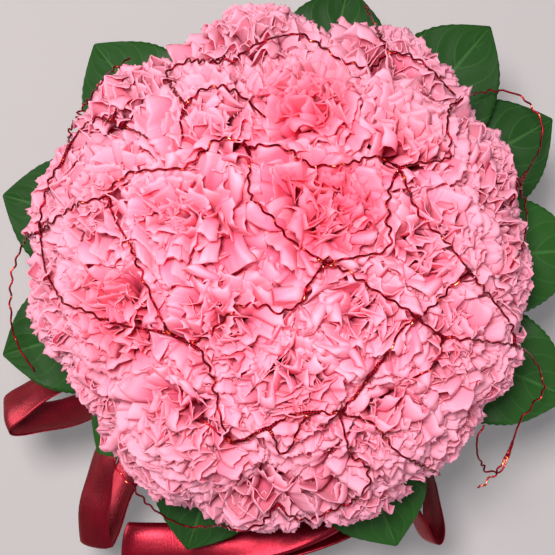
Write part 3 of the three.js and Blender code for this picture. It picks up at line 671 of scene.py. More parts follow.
def petal_points(random, width, bend, fold, ruffle, waves):
    """Petal of length 1 from its claw at the origin to its rim on the Z axis; +X faces outwards."""
    along = np.array(PETAL_ROWS)
    across = np.linspace(-1, 1, PETAL_COLUMNS)
    lean = np.radians(-0.3 * bend + bend * along**1.9)
    steps = np.diff(along)
    middle = (lean[1:] + lean[:-1]) / 2
    x = np.concatenate([[0], np.cumsum(steps * np.sin(middle))])
    z = np.concatenate([[0], np.cumsum(steps * np.cos(middle))])
    tilt, length = math.atan2(x[-1], z[-1]), math.hypot(x[-1], z[-1])
    x, z = ((x * math.cos(tilt) - z * math.sin(tilt)) / length,
            (x * math.sin(tilt) + z * math.cos(tilt)) / length)
    lean = lean - tilt

    opened = np.clip((along - CLAW_END) / FAN_RUN, 0, 1)
    half = width / 2 * (CLAW_SHARE + (1 - CLAW_SHARE) * opened * opened * (3 - 2 * opened))
    folds = np.radians(fold) * random.uniform(0.3, 1.3) * random.choice([-1, 1])
    phase = random.uniform(0, 2 * math.pi, 4)
    count = waves * random.uniform(0.85, 1.2)
    wave = sum(height * np.sin(math.pi * times * count * across + start)
               for (times, height), start in zip(OVERTONES, phase))
    rim = along**2.1
    sway = RIM_SWAY * np.sin(math.pi * 2.2 * across + phase[3])
    outline = 1 - RIM_ROUNDING * np.abs(across) ** 2.4 + sway

    s, t = np.meshgrid(across, along)
    rounded = 1 + (outline[None, :] - 1) * t**1.5
    sideways = half[:, None] * s * math.cos(folds) + 0.4 * ruffle * rim[:, None] * np.cos(
        math.pi * count * s + phase[0])
    outwards = (half[:, None] * np.abs(s) ** 1.3 * math.sin(folds)
                + ruffle * rim[:, None] * wave[None, :] - CUPPING * rim[:, None] * s**2 * width)
    x = x[:, None] * rounded + outwards * np.cos(lean)[:, None]
    z = z[:, None] * rounded - outwards * np.sin(lean)[:, None]
    teeth = np.where(np.arange(PETAL_COLUMNS) % 2, 1.0, -0.35) * random.uniform(0.35, 1.2, PETAL_COLUMNS)
    x[-1] += TOOTH_DEPTH * teeth * math.sin(lean[-1])
    z[-1] += TOOTH_DEPTH * teeth * math.cos(lean[-1])
    return np.stack([x, sideways, z], -1).reshape(-1, 3), t.ravel(), s.ravel()


def vector_of(tree, *numbers):
    return add_node(tree, "ShaderNodeCombineXYZ", {}, dict(enumerate(numbers)))


petal_skin, tree = new_material("petal_skin")
reach, across, tone, warmth, faded = [
    attribute(tree, name) for name in ("reach", "across", "tone", "warmth", "faded")]
fibres = noise(tree, vector_of(tree, across * 22, reach * 2.5, tone * 40), 1.0, 3.0)
blush = noise(tree, object_place(tree), 60.0, 2.0)
# Along each petal: painted shade, a saturated coral at the roots down in the recesses, then the petal's
# pink growing paler towards the rim, and in the last stop a painted shadow line where the rim lies over the
# gap beneath it.
pale, deep = [add_node(tree, "ShaderNodeValToRGB", {"stops": stops}, {0: reach})["Color"] for stops in (
    [(0.0, "f84a7e"), (0.5, "f9709a"), (0.75, "fa95b6"), (0.97, "fbb3cb"), (1.0, "e8a1ba")],
    [(0.0, "f8325c"), (0.5, "f8446a"), (0.8, "f85a7c"), (0.97, "f87693"), (1.0, "e86884")])]
# Between the pale and the deep ramp by each bloom's own depth of pink, by painted shade that deepens the
# coral in its furled heart, and by random blush and tone.
skin = mix_colors(tree, warmth + (blush - 0.5) + (tone - 0.5) * 0.45, pale, deep)
skin = mix_colors(tree, (fibres - 0.4) * 0.30, skin, "f0607f")
skin = mix_colors(tree, (tone - 0.55) * reach * reach * 0.9, skin, "fdc8da")
# greyish lilac towards the dome's rim: partly paler petals, partly painted shade where the light falls off
skin = mix_colors(tree, faded * reach * reach, skin, "e2b0c5")
relief = bump(tree, 0.6, 0.0006, fibres)
front = add_node(tree, "ShaderNodeBsdfPrincipled", {}, {
    "Base Color": skin, "Roughness": 0.6, "Specular IOR Level": 0.3, "Normal": relief})
glow = add_node(tree, "ShaderNodeBsdfTranslucent", {}, {
    "Color": mix_colors(tree, 0.6, skin, "ff4e80"), "Normal": relief})
show(tree, add_node(tree, "ShaderNodeMixShader", {}, {0: 0.52, 1: front, 2: glow}))

random = np.random.default_rng(27)
petal_patterns = bpy.data.collections.new("petal_patterns")
faces = grid_faces(len(PETAL_ROWS), PETAL_COLUMNS)
for kind, shape in enumerate(petal_kinds):
    for place in range(PATTERNS_OF_A_KIND):
        points, reaches, acrosses = petal_points(random, **shape)
        pattern = bpy.data.meshes.new(f"petal_{kind}_{place}")
        pattern.from_pydata(points.tolist(), [], faces)
        add_attribute(pattern, "reach", reaches)
        add_attribute(pattern, "across", acrosses)
        petal_patterns.objects.link(bpy.data.objects.new(pattern.name, pattern))

bloom_tree, given = node_tree("carnation", {
    "Roots": "Geometry", "Patterns": "Collection", "Length": "Float", "Crumple": "Float", "Seed": "Int",
    "Skin": "Material"})
turned = vector_of(bloom_tree, *[kept(bloom_tree, name) for name in ("roll", "spread", "turn")])
petals = add_node(bloom_tree, "GeometryNodeInstanceOnPoints", {}, {
    "Points": given["Roots"],
    "Instance": add_node(bloom_tree, "GeometryNodeCollectionInfo", {}, {
        "Collection": given["Patterns"], "Separate Children": True, "Reset Children": True}),
    "Pick Instance": True, "Instance Index": kept(bloom_tree, "pattern"), "Rotation": turned,
    "Scale": given["Length"] * kept(bloom_tree, "size")})
petals = add_node(bloom_tree, "GeometryNodeRealizeInstances", {}, {"Geometry": petals})
place = add_node(bloom_tree, "GeometryNodeInputPosition")


def vector_math(made, operation, *terms):
    return add_node(made, "ShaderNodeVectorMath", {"operation": operation}, dict(enumerate(terms)))


def scaled(made, vector, amount):
    return add_node(made, "ShaderNodeVectorMath", {"operation": "SCALE"}, {0: vector, "Scale": amount})


def crumple(scale, share, stream):
    """Push that neighbouring petals share, stronger towards their rims."""
    shift = vector_of(bloom_tree, given["Seed"] * 0.37 + stream, given["Seed"] * 0.11)
    push = noise(bloom_tree, vector_math(bloom_tree, "ADD", place, shift), scale, 1.0, "Color")
    centred = vector_math(bloom_tree, "SUBTRACT", push, (0.5, 0.5, 0.5))
    out = vector_math(bloom_tree, "LENGTH", place)["Value"] / given["Length"]
    return scaled(bloom_tree, centred, out * out * given["Crumple"] * share)


for scale, share, stream in CRUMPLE_LAYERS:
    petals = add_node(bloom_tree, "GeometryNodeSetPosition", {}, {
        "Geometry": petals, "Offset": crumple(scale, share, stream)})
finish_tree(bloom_tree, petals, given["Skin"])


def read_attribute(mesh, name):
    """Number kept at each vertex, read back."""
    values = np.zeros(len(mesh.vertices), np.float32)
    mesh.attributes[name].data.foreach_get("value", values)
    return values.astype(float)


INTERLEAVE = 6.0  # petals of neighbouring blooms slip in between each other by so much
CROWDING = 0.16  # petals that a neighbour holds upright reach further out by up to this share
COVER = 0.11  # outer petals that lie inside the dome are longer, to close the gaps between blooms
SPRING = 0.6  # share of a petal's reach beyond the bloom's radius that is left
PUSH = 0.8  # share of a petal's reach into its neighbour that it is pushed back by
LEAF_ROOM = 4  # between the collar and the petals that it stops
RIM_SIDES = (-0.1, 0.85)  # how far outwards a petal points that is still in the dome, or fully out of it
RIM_REACH = 0.96  # share of the radius that petals on the dome's outside reach
OUTER_ANGLE, FURLED_ANGLE = 50, 16  # degrees: outside the first petals are longer, inside the second furled
PALE_SHARE = 0.9  # of the greyish lilac that petals towards the dome's rim are mixed to: partly their own paler tone, partly painted shade where the light falls off
PALLOR_AND_SHADE_START, PALLOR_AND_SHADE_RUN = 70, 44  # millimetres from the bouquet's axis


def side_axes(flower):
    """Two directions square to a flower's axis and to each other."""
    across = unit(np.cross(UP, flower.axis))
    return across, np.cross(flower.axis, across)


def free_angles(flower, azimuths):
    """Angles from the bloom's axis at which its petals meet a neighbour or the collar."""
    across, ahead = side_axes(flower)
    angles = np.radians(np.arange(4, GUARD_ANGLE + 1))
    sides = np.cos(azimuths)[:, None] * across + np.sin(azimuths)[:, None] * ahead
    tips = np.cos(angles)[None, :, None] * flower.axis + np.sin(angles)[None, :, None] * sides[:, None]
    tips = tips * BLOOM_RADIUS
    stopped = flower.calyx[2] + tips[..., 2] < BLOOM_FLOOR + LEAF_ROOM
    for other in flowers.values():
        apart = other.calyx - flower.calyx
        if other is not flower:
            stopped |= tips @ apart > apart @ apart / 2
    stopped[:, -1] = True
    free = angles[np.argmax(stopped, axis=1)]
    return sum(np.roll(free, shift) * weight for shift, weight in ((-1, 0.25), (0, 0.5), (1, 0.25)))


def inside(flower, directions):
    """How far directions from a bloom point into the dome, from 0 outwards of its rim to 1."""
    if not flower.name.startswith("rim"):
        return 1.0
    return np.interp(directions @ unit(flower.calyx * (1, 1, 0)), RIM_SIDES, (1, 0))


def petal_roots(flower, random):
    """Points at the calyx mouth that the petals stand on, with their turn, spread and kind."""
    azimuths = np.linspace(-math.pi, math.pi, 36, endpoint=False)
    free = free_angles(flower, azimuths)
    across, ahead = side_axes(flower)
    guard, heart = math.radians(GUARD_ANGLE), math.radians(HEART_ANGLE)
    cap = np.mean(1 - np.cos(free)) / (1 - math.cos(guard))
    count = round(LEAST_PETALS + (PETALS - LEAST_PETALS) * cap)
    rows = {name: [] for name in ("roll", "spread", "turn", "size", "pattern", "tone", "inward")}
    points = []
    for petal in range(-GUARD_RING, count):
        inward = max(0, petal / (count - 1))
        hop = GOLDEN_TURN if petal >= 0 else 2 * math.pi / GUARD_RING
        turn = petal * hop + random.uniform(-0.25, 0.25)
        wrapped = (turn + math.pi) % (2 * math.pi) - math.pi
        limit = np.interp(wrapped, azimuths, free, period=2 * math.pi)
        share = (1 - inward) ** 0.7
        spread = heart + (limit - heart) * share + math.radians(random.uniform(-4, 4)) * share
        held = 1 - limit / guard
        side = math.cos(turn) * across + math.sin(turn) * ahead
        rise = (math.cos(spread) * flower.axis + math.sin(spread) * side)[2]
        if abs(rise) < FLAT_RISE:
            kind = 0
        else:
            kind = 1 if spread > math.radians(FURLED_ANGLE) + random.uniform(0, 0.12) else 2
        size = 1 + CROWDING * held * share**2
        if spread > math.radians(OUTER_ANGLE):
            size += COVER * inside(flower, side)
        root = NECK_RADIUS * (1 - 0.85 * inward)
        points.append((root * math.cos(turn), root * math.sin(turn), 0))
        rows["roll"].append(random.uniform(-0.34, 0.34))
        rows["spread"].append(spread)
        rows["turn"].append(turn)
        rows["size"].append(size * random.uniform(0.91, 1.06))
        rows["pattern"].append(kind * PATTERNS_OF_A_KIND + random.integers(PATTERNS_OF_A_KIND))
        rows["tone"].append(random.uniform())
        rows["inward"].append(inward)
    mesh = bpy.data.meshes.new("roots")
    mesh.from_pydata([tuple(part * MM for part in point) for point in points], [], [])
    for name, values in rows.items():
        add_attribute(mesh, name, values)
    return mesh


def pressed(flower, points):
    """Points of a bloom, held to its radius and pushed back from its neighbours and the collar."""
    out = points - flower.calyx
    distance = np.linalg.norm(out, axis=1)
    held_in = inside(flower, out / distance[:, None])
    allowed = BLOOM_RADIUS * (RIM_REACH + (1 - RIM_REACH + COVER) * held_in)
    beyond = np.maximum(0, distance - allowed)
    points = points - out / distance[:, None] * (beyond * (1 - SPRING))[:, None]
    for other in flowers.values():
        if other is not flower:
            apart = other.calyx - flower.calyx
            distance = np.linalg.norm(apart)
            beyond = (points - flower.calyx) @ (apart / distance) - distance / 2 - INTERLEAVE / 2
            points = points - np.outer(PUSH * np.maximum(beyond, 0), apart / distance)
    points[:, 2] = np.maximum(points[:, 2], BLOOM_FLOOR)
    return points


# how deep each bloom's pink is, from nearly white to coral; the others are MIDDLING
MIDDLING = 0.32
PAINTED_HEART_SHADE, DEPTH_WARMTH, PALENESS = 0.35, 0.45, 0.28
depths = {"crown_2": 1.0, "crown_4": 0.2, "crown_5": 0.08, "shoulder_1": 1.1, "shoulder_2": 0.08,
          "shoulder_3": 0.4, "shoulder_4": 0.02, "shoulder_6": 0.02, "shoulder_7": 0.22, "shoulder_8": 0.75,
          "rim_1": 0.05, "rim_2": 0.05, "rim_4": 0.05, "rim_7": 0.5, "rim_9": 0.5, "rim_12": 0.1,
          "rim_13": 0.05}
bloom_pieces = []
for place, (name, flower) in enumerate(flowers.items()):
    across, ahead = side_axes(flower)
    mesh = grown(f"carnation_{name}", petal_roots(flower, random), bloom_tree, {
        "Patterns": petal_patterns, "Length": BLOOM_RADIUS * MM, "Crumple": CRUMPLE * MM, "Seed": place,
        "Skin": petal_skin})
    points = flower.calyx + coordinates(mesh) / MM @ np.array([across, ahead, flower.axis])
    points = pressed(flower, points)
    mesh.vertices.foreach_set("co", (points * MM).astype(np.float32).ravel())
    heart = read_attribute(mesh, "inward")
    depth = depths.get(name, MIDDLING)
    # each bloom's own depth of pink, plus painted shade: a deeper coral towards its furled heart
    add_attribute(mesh, "warmth", heart**1.3 * (PAINTED_HEART_SHADE + depth) + depth * DEPTH_WARMTH - PALENESS)
    outer = np.hypot(points[:, 0], points[:, 1])
    # greyish lilac grows towards the dome's rim: partly paler petals, partly painted shade
    add_attribute(mesh, "faded", np.clip((outer - PALLOR_AND_SHADE_START) / PALLOR_AND_SHADE_RUN, 0, 1) * PALE_SHARE)
    bloom = smooth_object(mesh)
    body = bloom.modifiers.new("body", "SOLIDIFY")
    body.thickness, body.offset = PETAL_THICKNESS * MM, 0
    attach(bloom, "root")
    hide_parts(f"bloom_{name}")
    bloom_pieces.append(bloom)
for pattern in list(petal_patterns.objects):
    bpy.data.objects.remove(pattern)

# ---------- Crimped wire ----------
# Dark red enamelled wire, crimped stiff, is netted over the blooms by hand and looped out over the
# collar. Where strands meet they are twisted together. The routes are seen in the photograph, in
# its pixels, and each strand is laid on the petals that it crosses.
PICTURE_WIDTH = 555  # pixels
PICTURE_MIDDLE = PICTURE_WIDTH / 2
ROUTE_STEP = 1.6  # pixels
# the petals' height is felt at these pixels round a place, and only the highest few of them count
PROBES = [(0, 0), (4, 0), (-4, 0), (0, 4), (0, -4), (3, 3), (-3, 3), (3, -3), (-3, -3)]
HIGHEST = 3
WIRE_RADIUS, WIRE_SIDES, WIRE_STEP = 0.5, 8, 0.6
WIRE_LIFT = 1.5  # from the petals to the middle of the strand
CRIMP_PITCH, CRIMP_SWING = 7.8, 0.46
TWIST_PITCH, TWIST_RADIUS, TWIST_HALF = 2.6, 0.5, 5.0  # the last: how far a twist runs from its joint
TWISTED_SWING, END_RUN = 0.45, 3  # share of the swing left in a twist; run over which it fades at an end
LOOSE_FALL, LOOSE_FLOOR = 1.2, 3  # a strand that leaves the blooms: how steeply it sinks, what stops it
wire_nets = {
    "crown": [
        [(40, 232), (42, 250), (45, 270), (55, 290), (65, 305), (85, 310), (100, 318), (120, 325),
         (150, 330), (168, 333), (190, 343), (200, 350), (212, 375), (217, 400), (222, 425), (232, 443),
         (245, 440), (258, 432), (268, 428), (290, 415), (310, 412), (340, 413), (352, 400), (375, 370),
         (390, 350), (400, 330), (418, 318), (440, 300), (450, 288), (470, 272), (482, 287), (495, 302),
         (512, 325), (515, 345)],
        [(62, 163), (52, 175), (45, 195), (40, 215), (40, 232), (60, 215), (80, 203), (108, 196),
         (112, 185), (130, 172), (150, 170), (185, 168), (205, 150), (215, 140), (235, 138), (248, 148),
         (250, 165), (248, 185), (252, 200), (270, 215), (285, 235), (300, 247), (325, 263), (345, 270),
         (365, 283), (385, 297), (400, 305), (418, 318), (430, 328), (443, 337), (475, 340), (515, 345)],
        [(108, 196), (115, 220), (130, 245), (140, 270), (150, 295), (168, 333), (190, 343), (210, 335),
         (225, 318), (240, 305), (260, 305), (280, 313), (300, 305), (308, 285), (325, 263), (350, 258),
         (385, 252), (392, 240), (388, 225), (388, 205), (390, 185), (400, 168), (405, 180), (414, 205),
         (425, 222), (445, 240), (460, 258), (470, 272)],
        [(248, 148), (270, 144), (290, 150), (308, 165), (335, 166), (355, 162), (375, 155), (400, 168),
         (415, 163), (435, 162), (450, 158), (450, 140), (447, 125), (450, 105), (462, 100), (475, 93),
         (500, 90), (520, 95), (535, 110), (543, 125), (540, 150), (525, 175), (515, 182), (525, 200),
         (527, 220), (524, 245), (510, 268)],
        [(525, 175), (518, 190), (510, 205)],
        [(62, 163), (68, 148), (70, 130), (85, 105), (106, 75), (130, 58)],
        [(40, 232), (28, 235), (20, 250), (12, 272), (10, 300), (12, 330), (20, 350), (35, 372)],
        [(515, 345), (528, 352), (539, 367), (545, 390), (533, 405), (520, 420), (510, 450), (495, 475),
         (478, 488)],
        [(443, 337), (440, 355), (430, 370), (413, 378)],
        [(232, 443), (215, 430), (200, 418)],
        [(268, 428), (276, 440), (278, 455), (290, 450), (300, 425), (310, 412)],
        [(340, 413), (372, 422), (400, 455), (425, 467), (440, 475)],
        [(340, 413), (345, 435), (350, 455), (367, 465), (370, 480), (362, 495), (345, 505), (310, 520),
         (290, 517), (278, 503)],
        [(278, 503), (262, 524), (240, 532), (222, 525), (205, 527), (187, 527), (168, 519), (152, 508),
         (141, 497), (130, 483), (122, 477), (112, 460)],
        [(68, 148), (75, 137), (84, 125), (97, 119), (112, 120), (121, 126), (134, 130), (147, 138)],
        [(116, 109), (115, 115), (112, 120)],
        [(133, 116), (127, 121), (121, 126)],
        [(484, 425), (477, 438), (477, 455), (486, 471), (497, 474), (506, 464), (510, 450)],
    ],
    "back": [
        [(183, 138), (180, 120), (185, 105), (200, 90), (220, 86), (240, 93), (255, 108), (265, 117)],
        [(185, 105), (172, 88), (165, 72), (187, 60), (210, 62), (235, 60), (250, 47), (275, 37),
         (300, 33), (320, 45), (340, 60), (372, 70), (388, 52), (410, 55), (430, 68), (445, 85),
         (455, 95)],
        [(388, 52), (375, 25), (365, 5)],
    ],
}
long_twists = [((168, 333), (190, 343)), ((232, 443), (258, 432)), ((352, 400), (390, 350))]

wire_tree, given = node_tree("crimped_wire", {
    "Path": "Geometry", "Pitch": "Float", "Swing": "Float", "Twist Pitch": "Float", "Step": "Float",
    "Sides": "Int", "Skin": "Material"})
curve = add_node(wire_tree, "GeometryNodeMeshToCurve", {}, {"Mesh": given["Path"]})
curve = add_node(wire_tree, "GeometryNodeResampleCurve", {"mode": "LENGTH"}, {
    "Curve": curve, "Length": given["Step"]})
heading = add_node(wire_tree, "GeometryNodeInputTangent")
across = vector_math(wire_tree, "CROSS_PRODUCT", heading, (0.0, 0.0, 1.0))
across = vector_math(wire_tree, "NORMALIZE", across)
above = vector_math(wire_tree, "CROSS_PRODUCT", across, heading)
uneven = noise(wire_tree, add_node(wire_tree, "GeometryNodeInputPosition"), 55.0, 0.0)
run, slack, twist = [kept(wire_tree, name) for name in ("run", "slack", "twist")]
turn = (run / given["Pitch"]) * (2 * math.pi) + uneven * 6.0
swing = given["Swing"] * slack * (uneven * 5.0 - 1.5)
winding = run / given["Twist Pitch"] * (2 * math.pi)
sideways = turn.math("SINE", turn) * swing + winding.math("COSINE", winding) * twist
upwards = turn.math("COSINE", turn * 0.5) * swing * 0.5 + winding.math("SINE", winding) * twist
offset = vector_math(wire_tree, "ADD", scaled(wire_tree, across, sideways),
                     scaled(wire_tree, above, upwards))
curve = add_node(wire_tree, "GeometryNodeSetPosition", {}, {"Geometry": curve, "Offset": offset})
finish_as_pipe(wire_tree, given, curve)

wire_enamel, tree = new_material("wire_enamel")
spot = object_place(tree)
streak = noise(tree, spot, 260.0, 2.0)
# painted glints: bright orange flecks in the enamel's colour where two noises peak
painted_glint = eased(tree, noise(tree, spot, 700.0, 1.0) * streak, 0.345, 0.41, how="LINEAR")
enamel = mix_colors(tree, streak, "26040a", "9c1024")
enamel = mix_colors(tree, painted_glint, enamel, "ff7a55")
show_principled(tree, {"Base Color": enamel, "Metallic": 1.0, "Roughness": 0.36})

surface_points, surface_faces = joined([part_of(bloom.data) for bloom in bloom_pieces])
petal_surface = BVHTree.FromPolygons([tuple(point) for point in surface_points], surface_faces)
eye = vec(*EYE_PLACE, EYE_HEIGHT)
pixel_slope = VIEW_WIDTH / PICTURE_WIDTH / (EYE_HEIGHT - DOME_LEVEL)
rim_height = DOME_HEIGHT + DOME_RISE * math.sqrt(1 - RIM_SHARE**2)


def seen_at(pixel, height):
    """Point at a height that the photograph's pixel shows."""
    slope = vec((pixel[0] - PICTURE_MIDDLE) * pixel_slope, (PICTURE_MIDDLE - pixel[1]) * pixel_slope, -1)
    return eye + slope * (EYE_HEIGHT - height)


def loose_height(pixel):
    """Height of a strand that has left the blooms: it sinks towards the collar."""
    height = rim_height
    for _ in range(12):
        place = seen_at(pixel, height)
        outside = min(math.hypot(*(place - flower.calyx)[:2]) for flower in flowers.values()) - BLOOM_RADIUS
        sunk = max(BLOOM_FLOOR + LOOSE_FLOOR, rim_height - LOOSE_FALL * max(0, outside))
        height = (height + sunk) / 2
    return height


def lying_height(pixel):
    """Height of the petals round a pixel, leaving out the deepest gaps."""
    heights = []
    for across, down in PROBES:
        target = seen_at((pixel[0] + across, pixel[1] + down), 0)
        hit = petal_surface.ray_cast(Vector(eye), Vector(unit(target - eye)))[0]
        heights.append(hit.z if hit else 0)
    heights = sorted(heights)[-HIGHEST:]
    loose = loose_height(pixel)
    return max(loose, sum(heights) / HIGHEST) if heights[0] else loose


def smoothed(values, reach):
    """Running mean that keeps both ends."""
    before, after = values[reach:0:-1], values[-2 : -reach - 2 : -1]
    padded = np.concatenate([2 * values[0] - before, values, 2 * values[-1] - after])
    weights = np.hanning(2 * reach + 3)[1:-1]
    return np.convolve(padded, weights / weights.sum(), "valid")


def resampled(points, step):
    """Points a step apart on the lines through the given ones."""
    points = np.array(points, float)
    run = run_along(points)
    wanted = np.linspace(0, run[-1], max(8, round(run[-1] / step) + 1))
    return np.stack([np.interp(wanted, run, column) for column in points.T], 1)


for name, strands in wire_nets.items():
    shared = [pixel for number, strand in enumerate(strands) for pixel in strand
              if any(pixel in other for place, other in enumerate(strands) if place != number)]
    paths, girths, runs, slacks, twists = [], [], [], [], []
    for strand in strands:
        pixels = resampled(strand, ROUTE_STEP)
        reach = min(3, len(pixels) // 2 - 1)
        pixels = np.stack([smoothed(column, reach) for column in pixels.T], 1)
        heights = np.array([lying_height(pixel) for pixel in pixels])
        heights = smoothed(heights, min(7, len(pixels) // 2 - 1)) + WIRE_LIFT
        path = np.array([seen_at(pixel, height) for pixel, height in zip(pixels, heights)])
        run = run_along(path)
        near = [np.argmin(np.linalg.norm(pixels - vec(*pixel), axis=1)) for pixel in strand]
        paired = np.zeros(len(path), bool)
        for pixel, place in zip(strand, near):
            if pixel in shared:
                paired |= np.abs(run - run[place]) < TWIST_HALF
        for first, last in long_twists:
            if first in strand and last in strand:
                paired[near[strand.index(first)] : near[strand.index(last)]] = True
        slack = np.minimum(1, np.minimum(run, run[-1] - run) / END_RUN) * np.where(paired, TWISTED_SWING, 1)
        for side in (1, -1):
            if side < 0 and not paired.any():
                continue
            stretches = [np.arange(len(path))]
            if side < 0:
                places = np.flatnonzero(paired)
                stretches = [part for part in np.split(places, np.flatnonzero(np.diff(places) > 1) + 1)
                             if len(part) > 3]
            for part in stretches:
                paths.append(path[part])
                runs.append(run[part] * MM)
                slacks.append(smoothed(slack, 2)[part])
                twists.append(side * TWIST_RADIUS * MM * smoothed(paired.astype(float), 2)[part])
                girths.append(np.full(len(part), WIRE_RADIUS))
    mesh = path_mesh(paths, girths)
    for label, values in (("run", runs), ("slack", slacks), ("twist", twists)):
        add_attribute(mesh, label, np.concatenate(values))
    mesh = grown(f"crimped_wire_{name}", mesh, wire_tree, {
        "Pitch": CRIMP_PITCH * MM, "Swing": CRIMP_SWING * MM, "Twist Pitch": TWIST_PITCH * MM,
        "Step": WIRE_STEP * MM, "Sides": WIRE_SIDES, "Skin": wire_enamel})
    wire = smooth_object(mesh)
    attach(wire, "root")
    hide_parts(f"wire_{name}")

# ---------- Satin ribbon ----------
# Crimson satin, 25 mm wide with narrow selvedges, is wound round the binding, knotted at the front
# and left in four long loops that spring out under the collar, and two tails cut on the slant.
RIBBON_WIDTH, RIBBON_THICKNESS = 25, 0.32
WAVE_LENGTHS = (17, 5.2)  # long and short waves along the edges, each over two pi
PLEAT_DEPTH = 2.4  # where the ribbon is gathered
BAND_RADIUS, BAND_FLARE, BAND_TURNS = 20.1, 2.6, 2.4
BAND_ROWS, BAND_WIDTH, BAND_START, BAND_SWAY = 260, 23.0, 15, 1.4  # start: degrees past the knot
TURN_THICKNESS = 0.25  # that each turn lies further out
KNOT_AZIMUTH, KNOT_PLACE = 250, 26.9
KNOT_HALF = (6, 11, 12.5)
KNOT_ROWS, KNOT_COLUMNS = 49, 96
KNOT_FOLDS, FOLD_DEPTH, KNOT_CREASES, CREASE_DEPTH = 5, 0.06, 11, 0.03
LOOP_ROWS, LOOP_COLUMNS = 110, 13
LOOP_CURL, LOOP_FLUTTER = 1.6, 0.9
TAIL_ROWS, TAIL_CURL, TAIL_FLUTTER, TAIL_SLANT = 50, 1.8, 1.2, -6
TAIL_BEND, TAIL_FALL = (40, -26), (-10, 34)  # pulls outwards and upwards: of the binding, of a tail's end
LOOP_OPENING, TAIL_OPENING = (0.34, 2.4), (0.26, 1.8)  # share of the width at the knot, and its growth
PLY_START = 11  # degrees of the loop's turn that lie inside the knot
RIB_PITCH, SELVEDGE = 0.8, 1.0

ribbon_satin, tree = new_material("ribbon_satin")
along, across = attribute(tree, "along"), attribute(tree, "across")
ribs = along * (2 * math.pi / RIB_PITCH)
ribs = ribs.math("SINE", ribs)
floats = noise(tree, vector_of(tree, across * 0.7, along * 3.2), 1.0, 2.0)
# painted light and shade of the satin's folds: a slow noise along the ribbon
painted_fold_light_and_shade = noise(tree, vector_of(tree, across * 0.10, along * 0.06), 1.0, 2.0)
selvedge_start = RIBBON_WIDTH / 2 - SELVEDGE
edge = eased(tree, abs(across), selvedge_start - 0.2, selvedge_start + 0.2)
# painted light and shade: from near black to bright crimson along the ribbon
crimson = mix_colors(tree, painted_fold_light_and_shade, "2e0007", "74071a")
crimson = mix_colors(tree, (floats - 0.4) * 0.5, crimson, "b0182e")
crimson = mix_colors(tree, edge * 0.6, crimson, "5f0510")
show_principled(tree, {
    "Base Color": crimson, "Roughness": 0.2 + floats * 0.16, "Metallic": 0.6,
    "Specular IOR Level": 0.7, "Specular Tint": linear("ff8a98"),
    "Normal": bump(tree, 0.5, 0.00012, ribs * 0.12 + floats * 0.9 + edge * 1.2)})


def headings_of(points):
    """Unit directions along a path."""
    headings = np.gradient(points, axis=0)
    return headings / np.linalg.norm(headings, axis=1)[:, None]


def satin_piece(name, node, centres, acrosses, facings, widths, curl, flutter, slant=0):
    """Strip of satin along centres, cupped by curl and waved along its edges by flutter."""
    run = run_along(centres)
    side = np.linspace(-1, 1, LOOP_COLUMNS)
    fullness = (widths / RIBBON_WIDTH)[:, None]
    pleats = PLEAT_DEPTH * (1 - fullness) * np.cos(3.5 * math.pi * side)
    slow, quick = [run[:, None] / length for length in WAVE_LENGTHS]
    waves = flutter * side**2 * np.sin(slow + 2.2 * side) * fullness
    waves = waves + 0.6 * flutter * np.sin(quick + 0.5 * side) * fullness
    bulge = curl * (side**2 - 0.4) * fullness + pleats + waves
    points = centres[:, None] + acrosses[:, None] * (side * widths[:, None] / 2)[..., None]
    points = points + facings[:, None] * bulge[..., None]
    headings = headings_of(centres)
    last = np.clip((run - (run[-1] - 2 * abs(slant))) / (2 * abs(slant) + 1e-6), 0, 1)
    points += headings[:, None] * (last[:, None] * slant * side)[..., None]
    piece = new_piece(name, points.reshape(-1, 3), grid_faces(len(centres), LOOP_COLUMNS), ribbon_satin)
    add_attribute(piece.data, "along", np.repeat(run, LOOP_COLUMNS))
    add_attribute(piece.data, "across", np.tile(side * RIBBON_WIDTH / 2, len(centres)))
    body = piece.modifiers.new("body", "SOLIDIFY")
    body.thickness, body.offset = RIBBON_THICKNESS * MM, 0
    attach(piece, "root")
    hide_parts(node)
    return piece, run[-1]


def gathered(opening, run):
    """Widths of a strip that is gathered at the knot."""
    return RIBBON_WIDTH * np.minimum(1, opening[0] + opening[1] * run)


share = np.linspace(0, 1, BAND_ROWS)
turn = np.radians(KNOT_AZIMUTH + BAND_START) + share * BAND_TURNS * 2 * math.pi
outwards = np.stack([np.cos(turn), np.sin(turn), 0 * turn], 1)
level = WAIST_HEIGHT + BAND_SWAY * np.sin(share * BAND_TURNS * math.pi)
centres = outwards * (BAND_RADIUS + TURN_THICKNESS * share * BAND_TURNS)[:, None] + level[:, None] * UP
band, length = satin_piece("satin_band", "ribbon_band", centres, np.tile(UP, (len(share), 1)), outwards,
                           np.full(len(share), BAND_WIDTH), BAND_FLARE, 0.0)

knot_centre = polar(KNOT_PLACE, KNOT_AZIMUTH, WAIST_HEIGHT)
out_of_knot, along_knot = polar(1, KNOT_AZIMUTH), polar(1, KNOT_AZIMUTH + 90)


def on_knot(out, along, up):
    """Place given by how far it lies out of, along and above the knot's middle."""
    return knot_centre + out * out_of_knot + along * along_knot + up * UP


